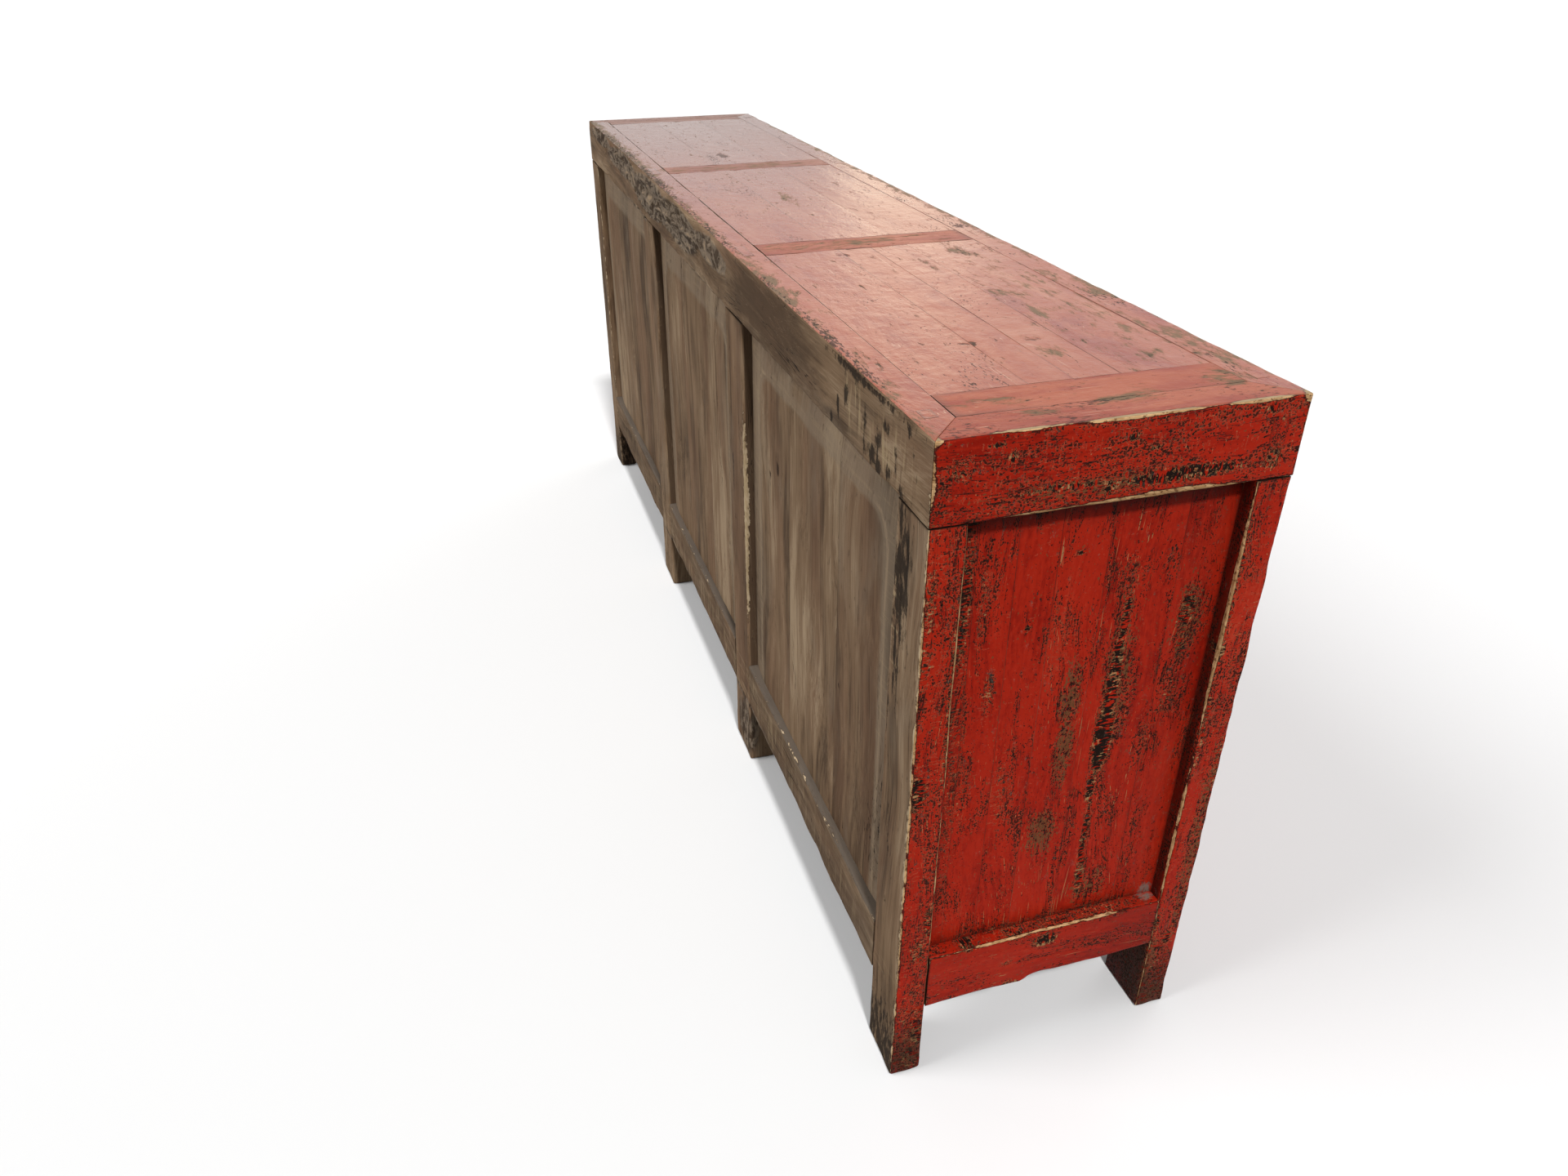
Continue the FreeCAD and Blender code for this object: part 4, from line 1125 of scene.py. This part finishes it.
def finishTools(owner):
    # short ways to make the nodes of a material or a world
    owner.use_nodes = True
    tree = owner.node_tree
    tree.nodes.clear()
    attributes = {}

    def make(kind, inputs=None, **settings):
        # a node whose inputs are linked to sockets or set to plain values
        node = tree.nodes.new(kind)
        for key, value in settings.items():
            setattr(node, key, value)
        for key, value in (inputs or {}).items():
            if isinstance(value, bpy.types.NodeSocket):
                tree.links.new(value, node.inputs[key])
            else:
                node.inputs[key].default_value = value
        return node

    def sums(operation, first, second=0.0):
        return make("ShaderNodeMath", {0: first, 1: second}, operation=operation).outputs[0]

    def product(first, second):
        return sums("MULTIPLY", first, second)

    def largest(first, second, third):
        return sums("MAXIMUM", sums("MAXIMUM", first, second), third)

    def blend(*shares, offset=0.0):
        # the sum of each value times its share, plus the offset
        total = offset
        for value, share in shares:
            inputs = {0: value, 1: share, 2: total}
            total = make("ShaderNodeMath", inputs, operation="MULTIPLY_ADD").outputs[0]
        return total

    def away(value, level):
        # how far a value is from a level
        return sums("ABSOLUTE", blend((value, 1.0), offset=-level))

    def mix(share, first, second):
        # the first colour at share 0, the second at 1
        colours = [c if isinstance(c, bpy.types.NodeSocket) else (*c, 1) for c in (first, second)]
        return make("ShaderNodeMix", {0: share, 6: colours[0], 7: colours[1]}, data_type="RGBA").outputs[2]

    def band(value, start, end, low=0.0, high=1.0):
        # a smooth step from low at start to high at end
        return make("ShaderNodeMapRange", {0: value, 1: start, 2: end, 3: low, 4: high},
                    interpolation_type="SMOOTHSTEP").outputs[0]

    def attribute(name):
        # one node for each attribute
        if name not in attributes:
            attributes[name] = make("ShaderNodeAttribute", attribute_name=name)
        return attributes[name]

    def marks(*names):
        # the sockets of the named channels
        sockets = {}
        for layer, channels in markLayers.items():
            if set(channels) & set(names):
                node = attribute(layer)
                colours = make("ShaderNodeSeparateColor", {0: node.outputs["Color"]})
                sockets |= zip(channels, [*colours.outputs[:3], node.outputs["Alpha"]])
        return [sockets[name] for name in names]

    def scaled(vector, scale):
        return make("ShaderNodeVectorMath", {0: vector, 1: scale}, operation="MULTIPLY").outputs[0]

    def onGrain(along, across):
        # the board's grain, with so many waves in a metre along and across it
        return scaled(attribute("grain").outputs["Vector"], (along, across, across))

    def pattern(vector, detail=3.0, roughness=0.55, distortion=0.0):
        inputs = {"Vector": vector, "Scale": 1.0, "Detail": detail, "Roughness": roughness,
                  "Distortion": distortion}
        return make("ShaderNodeTexNoise", inputs).outputs[0]

    def noise(along, across, *settings):
        # layered noise on the board's grain
        return pattern(onGrain(along, across), *settings)

    def cells(along, across):
        # how far the nearest of many scattered points is
        return make("ShaderNodeTexVoronoi", {"Vector": onGrain(along, across), "Scale": 1.0}).outputs[0]

    def rubbing(rub, ragged, share):
        # arrises are rubbed through in ragged stretches, some longer than others
        length = noise(7, 3, 3, 0.6)
        stretches = product(rub, band(length, 0.28, 0.62, 0.62, 1.05))
        return length, sums("ADD", stretches, blend((ragged, share), offset=-share / 2))

    def finishWith(colour, roughness, height, specular, strength, distance, metallic=0.0):
        # the shader, with a bump of that strength and distance from the height
        bump = make("ShaderNodeBump", {"Strength": strength, "Distance": distance, "Height": height})
        inputs = {"Base Color": colour, "Roughness": roughness, "Normal": bump.outputs[0],
                  "Specular IOR Level": specular, "Metallic": metallic}
        shader = make("ShaderNodeBsdfPrincipled", inputs)
        make("ShaderNodeOutputMaterial", {0: shader.outputs[0]})

    return SimpleNamespace(make=make, sums=sums, product=product, largest=largest, blend=blend, away=away,
                           mix=mix, band=band, marks=marks, scaled=scaled, pattern=pattern, noise=noise,
                           cells=cells, rubbing=rubbing, finishWith=finishWith)


redLook = {"deep": (0.280, 0.0095, 0.0032), "body": (0.428, 0.019, 0.006), "bright": (0.500, 0.040, 0.016),
           "ground": (0.012, 0.006, 0.004), "undercoat": (0.150, 0.066, 0.026), "tan": (0.430, 0.240, 0.105),
           "flesh": (0.450, 0.110, 0.055), "pale": (0.640, 0.400, 0.200), "rim": (0.045, 0.008, 0.005),
           "dust": (0.200, 0.170, 0.140)}


def makeRedLacquer(material):
    t = finishTools(material)
    rub, loss, brown, dust, soot, tone, seam = t.marks("rub", "loss", "brown", "dust", "soot", "tone", "seam")

    # red with faint streaks along the grain, fine mottling and slow clouds
    streak = t.noise(7, 210, 4, 0.6)
    mottle = t.noise(90, 170, 3, 0.6)
    cloud = t.noise(5, 12)
    shade = t.blend((streak, 0.45), (cloud, 0.60), (mottle, 0.45), (tone, 0.06), offset=-0.16)
    red = t.mix(t.band(shade, 0.42, 0.66), redLook["deep"], redLook["body"])
    red = t.mix(t.band(shade, 0.66, 0.92), red, redLook["bright"])

    # fine tan scratches along the grain
    hairMask = t.product(t.band(t.noise(9, 640, 1), 0.70, 0.73), t.band(t.noise(5, 16, 2), 0.50, 0.58))
    colour = t.mix(t.product(hairMask, 0.85), red, redLook["tan"])

    # small dark pits that crowd into clusters, with flesh-coloured edges
    cluster = t.noise(13, 34, 3, 0.6)
    run = t.noise(4, 56, 2)
    speck = t.noise(210, 330, 2, 0.5)
    crowd = t.blend((cluster, 1.05), (run, 0.60), (mottle, 0.35), (loss, 0.45), (rub, 0.10), (brown, 0.30),
                    offset=-0.955)
    pitSize = t.band(crowd, -0.08, 0.34, 0.06, 0.50)
    pitField = t.blend((pitSize, 1.0), (t.cells(290, 420), -1.0), (speck, 0.9), offset=-0.45)
    fleshMask = t.product(t.band(pitField, -0.14, -0.03), t.band(crowd, 0.08, 0.24, 0.0, 0.55))
    colour = t.mix(fleshMask, colour, redLook["flesh"])
    pitMask = t.band(pitField, -0.06, 0.06, 0.0, 0.92)
    colour = t.mix(pitMask, colour, redLook["rim"])

    # cracks along the grain among the pits
    nearSplit = t.away(t.noise(6, 170), 0.5)
    crackMask = t.product(t.band(nearSplit, 0.022, 0.006), t.band(crowd, 0.04, 0.16, 0.0, 0.9))
    colour = t.mix(crackMask, colour, redLook["ground"])

    # scattered chips, and brown undercoat that shows through in flecks
    torn = t.noise(60, 120, 4, 0.65)
    chipField = t.blend((speck, 1.0), (cluster, 0.35), (loss, 0.10), (brown, 0.09), offset=-0.175)
    colour = t.mix(t.band(chipField, 0.665, 0.70, 0.0, 0.95), colour, redLook["ground"])
    brownField = t.blend((brown, 0.80), (torn, 0.9), (speck, -2.6), offset=0.83)
    colour = t.mix(t.band(brownField, 0.42, 0.58, 0.0, 0.85), colour, redLook["undercoat"])

    # places where the coat has crackled off: black ground with short tan and red dashes across the grain
    rungs = t.noise(330, 80, 2, 0.5)
    lossField = t.blend((loss, 0.69), (torn, 0.9), (speck, 0.7), (rungs, 1.3), offset=-1.42)
    bare = t.band(lossField, 0.40, 0.46)
    dash = t.band(rungs, 0.53, 0.60)
    dashColour = t.mix(t.band(torn, 0.40, 0.48), redLook["tan"], redLook["body"])
    ground = t.mix(dash, redLook["ground"], dashColour)
    edgeColour = t.mix(t.band(loss, 0.30, 0.70), redLook["flesh"], redLook["tan"])
    colour = t.mix(t.band(lossField, 0.34, 0.40, 0.0, 0.55), colour, edgeColour)
    colour = t.mix(bare, colour, ground)

    # painted shade in corners and recesses, and darkening at the feet and towards the front, then arrises
    # rubbed through to the wood with a dark rim
    sootAndShadeField = t.blend((soot, 1.0), (torn, 0.6), offset=-0.30)
    colour = t.mix(t.band(sootAndShadeField, 0.10, 0.95, 0.0, 0.74), colour, redLook["ground"])
    ragged = t.noise(70, 220, 4, 0.65)
    length, rubField = t.rubbing(rub, ragged, 0.8)
    colour = t.mix(t.band(rubField, 0.32, 0.46, 0.0, 0.9), colour, redLook["rim"])
    wood = t.mix(t.band(ragged, 0.42, 0.64), redLook["tan"], redLook["pale"])
    wood = t.mix(t.band(speck, 0.56, 0.64, 0.0, 0.8), wood, redLook["undercoat"])
    rubMask = t.band(rubField, 0.54, 0.60)
    colour = t.mix(rubMask, colour, wood)
    colour = t.mix(t.product(seam, t.band(length, 0.40, 0.58, 0.08, 0.90)), colour, redLook["ground"])
    dustField = t.blend((dust, 0.9), (torn, 1.4), (speck, 0.8), offset=-1.05)
    colour = t.mix(t.band(dustField, 0.20, 0.85, 0.0, 0.85), colour, redLook["dust"])

    lost = t.largest(pitMask, bare, t.product(rubMask, 0.6))
    height = t.blend((streak, 0.25), (mottle, 0.3), (lost, -0.9), (crackMask, -0.7),
                     (t.product(bare, dash), 0.6))
    t.finishWith(colour, t.band(lost, 0, 1, 0.40, 0.75), height, 0.05, 0.7, 0.0008)


fadedLook = {"body": (0.352, 0.088, 0.040), "light": (0.430, 0.155, 0.085), "dark": (0.258, 0.040, 0.018),
             "far": (0.185, 0.068, 0.039), "worn": (0.140, 0.106, 0.060), "ground": (0.030, 0.018, 0.013),
             "pale": (0.560, 0.390, 0.220), "scratch": (0.560, 0.330, 0.220)}


def makeFadedLacquer(material):
    t = finishTools(material)
    rub, loss, brown, knot, fade, tone, seam = t.marks("rub", "loss", "brown", "knot", "fade", "tone", "seam")

    # dull red in streaks, clouds and scuffs, greyer towards the far end
    streak = t.noise(3, 60, 4, 0.6)
    cloud = t.noise(5, 11, 4)
    blot = t.noise(16, 34, 4, 0.62)
    shade = t.blend((streak, 0.40), (cloud, 0.75), (blot, 0.45), (tone, 0.20), offset=-0.22)
    colour = t.mix(t.band(shade, 0.46, 0.68), fadedLook["dark"], fadedLook["body"])
    colour = t.mix(t.band(shade, 0.68, 0.94), colour, fadedLook["light"])
    scuff = t.noise(60, 110, 5, 0.68)
    colour = t.mix(t.band(scuff, 0.54, 0.70, 0.0, 0.55), colour, fadedLook["dark"])
    colour = t.mix(t.band(scuff, 0.44, 0.30, 0.0, 0.45), colour, fadedLook["light"])
    colour = t.mix(fade, colour, fadedLook["far"])

    # pale scratches, roughly along the grain
    hairPlace = t.band(t.noise(9, 22, 2), 0.50, 0.60, 0.0, 0.8)
    hairMask = t.product(t.band(t.noise(12, 420, 1), 0.70, 0.74), hairPlace)
    colour = t.mix(hairMask, colour, fadedLook["scratch"])

    # worn grey-brown places, small dark pits and knots
    torn = t.noise(30, 90, 5, 0.68)
    wornField = t.blend((brown, 0.82), (torn, 2.6), (blot, 0.5), offset=-1.55)
    wornMask = t.band(wornField, 0.22, 0.72, 0.0, 0.85)
    colour = t.mix(wornMask, colour, fadedLook["worn"])
    speck = t.noise(120, 360, 3, 0.6)
    cluster = t.noise(7, 18, 3, 0.6)
    speckField = t.blend((speck, 1.0), (cluster, 0.70), (loss, 0.34), (brown, 0.06), offset=-0.35)
    speckMask = t.band(speckField, 0.690, 0.780, 0.0, 0.8)
    colour = t.mix(speckMask, colour, fadedLook["ground"])
    knotMask = t.band(t.blend((knot, 1.0), (torn, 2.6), offset=-1.3), 0.30, 0.75, 0.0, 0.75)
    colour = t.mix(knotMask, colour, fadedLook["ground"])

    # rubbed arrises and dark seams
    ragged = t.noise(60, 200, 4, 0.65)
    length, rubField = t.rubbing(rub, ragged, 0.6)
    colour = t.mix(t.band(rubField, 0.40, 0.48, 0.0, 0.5), colour, fadedLook["ground"])
    rubMask = t.band(rubField, 0.54, 0.62)
    colour = t.mix(rubMask, colour, t.mix(ragged, fadedLook["worn"], fadedLook["pale"]))
    colour = t.mix(t.product(seam, t.band(length, 0.40, 0.60, 0.05, 0.95)), colour, fadedLook["ground"])

    lost = t.largest(speckMask, knotMask, rubMask)
    dent = t.noise(22, 16, 4, 0.6)
    ripple = t.noise(38, 62, 5, 0.64)
    height = t.blend((streak, 0.3), (dent, 1.2), (ripple, 1.0), (lost, -0.8), (wornMask, -0.3))
    roughness = t.blend((lost, 0.35), (wornMask, 0.45), (cloud, 0.05), (tone, -0.44), (fade, -0.10),
                        offset=0.49)
    t.finishWith(colour, roughness, height, 0.5, 0.8, 0.0015)


woodLook = {"dark": (0.078, 0.049, 0.030), "body": (0.218, 0.140, 0.082), "light": (0.390, 0.282, 0.180),
            "russet": (0.205, 0.115, 0.068), "grey": (0.262, 0.198, 0.138), "crack": (0.010, 0.007, 0.005),
            "soot": (0.020, 0.014, 0.010), "dust": (0.105, 0.086, 0.070), "pale": (0.520, 0.400, 0.260),
            "knot": (0.040, 0.023, 0.014), "ridge": (0.210, 0.165, 0.122), "saw": (0.420, 0.310, 0.180)}


def makeBareWood(material):
    t = finishTools(material)
    rub, brown, dust, sawn, gouge, bleach = t.marks("rub", "brown", "dust", "sawn", "gouge", "bleach")
    knot, soot, tone, seam = t.marks("knot", "soot", "tone", "seam")

    # broad bands and fine fibres, russet in places and greyed by weather
    bands = t.noise(1.2, 50, 4, 0.60, 0.3)
    fibre = t.noise(9, 420, 3, 0.65)
    weather = t.noise(5, 12, 4, 0.6)
    patch = t.noise(2.4, 10, 4, 0.6)
    shade = t.blend((bands, 0.48), (fibre, 0.40), (patch, 0.95), (tone, 0.12), offset=-0.485)
    colour = t.mix(t.band(shade, 0.32, 0.52), woodLook["dark"], woodLook["body"])
    colour = t.mix(t.band(t.noise(1.6, 12), 0.44, 0.66, 0.0, 0.55), colour, woodLook["russet"])
    colour = t.mix(t.band(shade, 0.50, 0.74), colour, woodLook["light"])
    greyField = t.blend((weather, 1.0), (bleach, 0.40))
    colour = t.mix(t.band(greyField, 0.46, 0.84, 0.0, 0.65), colour, woodLook["grey"])
    ridgeField = t.blend((bleach, 1.0), (fibre, 0.4), offset=-0.20)
    colour = t.mix(t.band(ridgeField, 0.85, 1.30, 0.0, 0.8), colour, woodLook["light"])

    # old stains
    stainField = t.blend((brown, 0.8), (t.noise(14, 60, 4, 0.65), 1.2), offset=-0.60)
    colour = t.mix(t.band(stainField, 0.15, 0.85, 0.0, 0.85), colour, woodLook["dark"])

    # thin dark and light lines along the grain
    vein = t.noise(1.5, 130)
    veinPlace = t.band(t.noise(3, 22), 0.46, 0.62, 0.0, 0.6)
    darkLine = t.product(t.band(t.away(vein, 0.50), 0.022, 0.006), veinPlace)
    colour = t.mix(darkLine, colour, woodLook["dark"])
    colour = t.mix(t.band(t.away(vein, 0.60), 0.016, 0.004, 0.0, 0.16), colour, woodLook["light"])

    # saw marks across the grain
    kerf = t.noise(130, 12, 3, 0.6)
    sawMask = t.product(t.band(kerf, 0.52, 0.62), t.blend((sawn, 0.75), (bleach, 0.16)))
    colour = t.mix(sawMask, colour, woodLook["saw"])
    nick = t.product(t.band(kerf, 0.42, 0.34), sawn)
    colour = t.mix(t.product(nick, 0.6), colour, woodLook["dark"])

    # long cracks, knots, and soot together with the painted shade and darkening that share its channel
    nearSplit = t.away(t.noise(2.4, 110, 3, 0.5), 0.5)
    crackPlace = t.band(t.noise(2.2, 14, 2), 0.56, 0.66)
    crackMask = t.product(t.band(nearSplit, 0.016, 0.004), crackPlace)
    colour = t.mix(t.product(crackMask, 0.9), colour, woodLook["crack"])
    torn = t.noise(44, 110, 4, 0.68)
    place = t.make("ShaderNodeTexCoord").outputs["Object"]
    scorch = t.pattern(t.scaled(place, (150, 150, 42)), 5, 0.72)
    sootAndShadeField = t.blend((soot, 0.85), (scorch, 2.4), (torn, 0.8), offset=-1.60)
    sootAndShadeMask = t.band(sootAndShadeField, 0.28, 0.64, 0.0, 0.92)
    colour = t.mix(sootAndShadeMask, colour, woodLook["soot"])
    knotMask = t.band(t.blend((knot, 1.0), (torn, 1.1), offset=-0.55), 0.35, 0.65)
    colour = t.mix(knotMask, colour, woodLook["knot"])

    # deep weathering: black hollows between pale ridges
    hollow = t.noise(30, 75, 5, 0.66, 0.9)
    gougeField = t.blend((gouge, 1.0), (weather, 0.9), (hollow, 0.5), offset=-0.70)
    gougeMask = t.band(gougeField, 0.38, 0.60)
    rough = t.mix(t.band(hollow, 0.44, 0.54), woodLook["soot"], woodLook["ridge"])
    rough = t.mix(t.band(hollow, 0.56, 0.68), rough, woodLook["light"])
    colour = t.mix(t.product(gougeMask, 0.78), colour, rough)

    # worn arrises, seams and dust
    ragged = t.noise(70, 220, 4, 0.65)
    dustField = t.blend((dust, 1.0), (ragged, 0.5), offset=-0.25)
    colour = t.mix(t.band(dustField, 0.25, 0.75, 0.0, 0.85), colour, woodLook["dust"])
    length, rubField = t.rubbing(rub, ragged, 1.9)
    colour = t.mix(t.band(rubField, 0.36, 0.50, 0.0, 0.7), colour, woodLook["dark"])
    paleWood = t.mix(t.band(ragged, 0.46, 0.62), woodLook["saw"], woodLook["pale"])
    colour = t.mix(t.band(rubField, 0.54, 0.62, 0.0, 0.9), colour, paleWood)
    colour = t.mix(t.product(seam, t.band(length, 0.36, 0.60, 0.20, 0.95)), colour, woodLook["crack"])

    height = t.blend((bands, 0.6), (fibre, 0.6), (crackMask, -1.0), (sootAndShadeMask, -0.4), (kerf, 0.12),
                     (darkLine, -0.25), (t.product(gougeMask, hollow), 1.5))
    t.finishWith(colour, 0.80, height, 0.04, 0.7, 0.0012)


brassLook = {"bright": (0.520, 0.370, 0.150), "dull": (0.210, 0.140, 0.060), "green": (0.120, 0.130, 0.080),
             "dark": (0.110, 0.070, 0.030)}


def makeAgedBrass(material):
    t = finishTools(material)
    rub, tone = t.marks("rub", "tone")

    # bright where it is handled, dull and a little green elsewhere
    patch = t.noise(60, 60, 4, 0.6)
    fine = t.noise(500, 500, 2)
    bright = t.band(t.blend((patch, 1.0), (rub, 0.3)), 0.38, 0.62)
    colour = t.mix(bright, brassLook["dull"], brassLook["bright"])
    colour = t.mix(t.band(tone, 0.0, 0.6, 0.65, 0.0), colour, brassLook["dark"])
    colour = t.mix(t.band(patch, 0.44, 0.30, 0.0, 0.6), colour, brassLook["green"])
    height = t.sums("ADD", patch, t.product(fine, 0.3))
    t.finishWith(colour, t.band(patch, 0.3, 0.7, 0.55, 0.30), height, 0.5, 0.25, 0.0004, 1.0)


makeRedLacquer(materials["r"])
makeFadedLacquer(materials["f"])
makeBareWood(materials["b"])
makeAgedBrass(materials["m"])
print("finishes made")


# Stage: a pale floor, white surroundings, soft light from above and the photograph's camera
# each sun: where it shines from, its strength, its spread in degrees and if it shows in reflections
stageLook = {"floorHalf": 60.0, "floorLines": 9, "floorLevel": -0.0005, "floorSeen": (0.83, 0.83, 0.83),
             "floorBounce": (0.26, 0.26, 0.26), "skyLevel": 0.28, "sunHeight": 3.0,
             "suns": (((-0.60, 0.05, 0.80), 2.3, 5.0, True), ((0.07, 0.74, 0.67), 1.6, 30.0, True),
                      ((0.50, -0.84, 0.20), 0.9, 40.0, False)),
             "glarePlace": (4.01, -1.97, 1.73), "glareAim": (0.0, -0.22, 0.9), "glareSize": 0.8,
             "glarePower": 4.5, "glareColour": (1.0, 0.80, 0.52)}


def showsBackground(t):
    # 1 for rays from the camera and for reflected or passing rays
    path = t.make("ShaderNodeLightPath").outputs
    return t.largest(path["Is Camera Ray"], path["Is Glossy Ray"], path["Is Transmission Ray"])


def makeFloor():
    # one flat grid at floor level
    line = np.linspace(-stageLook["floorHalf"], stageLook["floorHalf"], stageLook["floorLines"])
    x, y = np.meshgrid(line, line, indexing="ij")
    points = np.stack([x.ravel(), y.ravel(), np.full(x.size, stageLook["floorLevel"])], axis=1)
    faces = gridQuads(np.arange(x.size).reshape(x.shape))
    mesh = bpy.data.meshes.new("paleFloor")
    mesh.from_pydata(points.tolist(), [], faces.tolist())
    material = bpy.data.materials.new("paleFloor")
    t = finishTools(material)
    colour = t.mix(showsBackground(t), stageLook["floorBounce"], stageLook["floorSeen"])
    matt = t.make("ShaderNodeBsdfDiffuse", {"Color": colour}).outputs[0]
    t.make("ShaderNodeOutputMaterial", {0: matt})
    mesh.materials.append(material)
    floor = bpy.data.objects.new("paleFloor", mesh)
    bpy.context.scene.collection.objects.link(floor)
    floor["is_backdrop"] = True


def makeSurroundings():
    # white where it is seen, dimmer as a light
    world = bpy.data.worlds.new("whiteRoom")
    t = finishTools(world)
    level = t.band(showsBackground(t), 0, 1, stageLook["skyLevel"], 1.0)
    sky = t.make("ShaderNodeBackground", {"Color": (1, 1, 1, 1), "Strength": level}).outputs[0]
    t.make("ShaderNodeOutputWorld", {0: sky})
    bpy.context.scene.world = world


def axesMatrix(x, y, z, place):
    # the three axes and the place stand as columns
    return Matrix([[x[row], y[row], z[row], place[row]] for row in range(3)] + [[0, 0, 0, 1]])


def aimed(holder, place, away):
    # the lamp looks along the opposite of away
    away = np.array(away) / np.linalg.norm(away)
    across = np.cross((0, 0, 1), away)
    across = across / np.linalg.norm(across)
    holder.matrix_world = axesMatrix(across, np.cross(away, across), away, place)
    bpy.context.scene.collection.objects.link(holder)


def makeLamps():
    # the suns, and a small lamp that glints on the top
    for sunFrom, strength, spread, isReflected in stageLook["suns"]:
        sun = bpy.data.lights.new("softSun", "SUN")
        sun.energy = strength
        sun.angle = np.radians(spread)
        holder = bpy.data.objects.new("softSun", sun)
        holder.visible_glossy = isReflected
        aimed(holder, (0, 0, stageLook["sunHeight"]), sunFrom)
    glare = bpy.data.lights.new("farGlare", "AREA")
    glare.shape = "SQUARE"
    glare.size = stageLook["glareSize"]
    glare.energy = stageLook["glarePower"]
    glare.color = stageLook["glareColour"]
    holder = bpy.data.objects.new("farGlare", glare)
    holder.visible_camera = False
    place = np.array(stageLook["glarePlace"])
    aimed(holder, place, place - np.array(stageLook["glareAim"]))


cameraLook = {"place": (-1.91222, 0.60763, 1.29471), "right": (-0.29282, -0.95616, -0.00309),
              "up": (0.48409, -0.15104, 0.86188), "back": (-0.82457, 0.25088, 0.50710), "lens": 25.478,
              "sensor": 36.0, "reach": 200.0}


def makeCamera():
    lens = bpy.data.cameras.new("photoCamera")
    lens.sensor_width = cameraLook["sensor"]
    lens.lens = cameraLook["lens"]
    lens.clip_end = cameraLook["reach"]
    camera = bpy.data.objects.new("photoCamera", lens)
    axes = [cameraLook[name] for name in ("right", "up", "back", "place")]
    camera.matrix_world = axesMatrix(*axes)
    bpy.context.scene.collection.objects.link(camera)
    bpy.context.scene.camera = camera


makeFloor()
makeSurroundings()
makeLamps()
makeCamera()
bpy.context.scene.view_settings.view_transform = "Standard"
triangles = sum(2 * len(piece.data.polygons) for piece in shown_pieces())
print("stage made,", pieceCount, "pieces, about", triangles, "triangles")
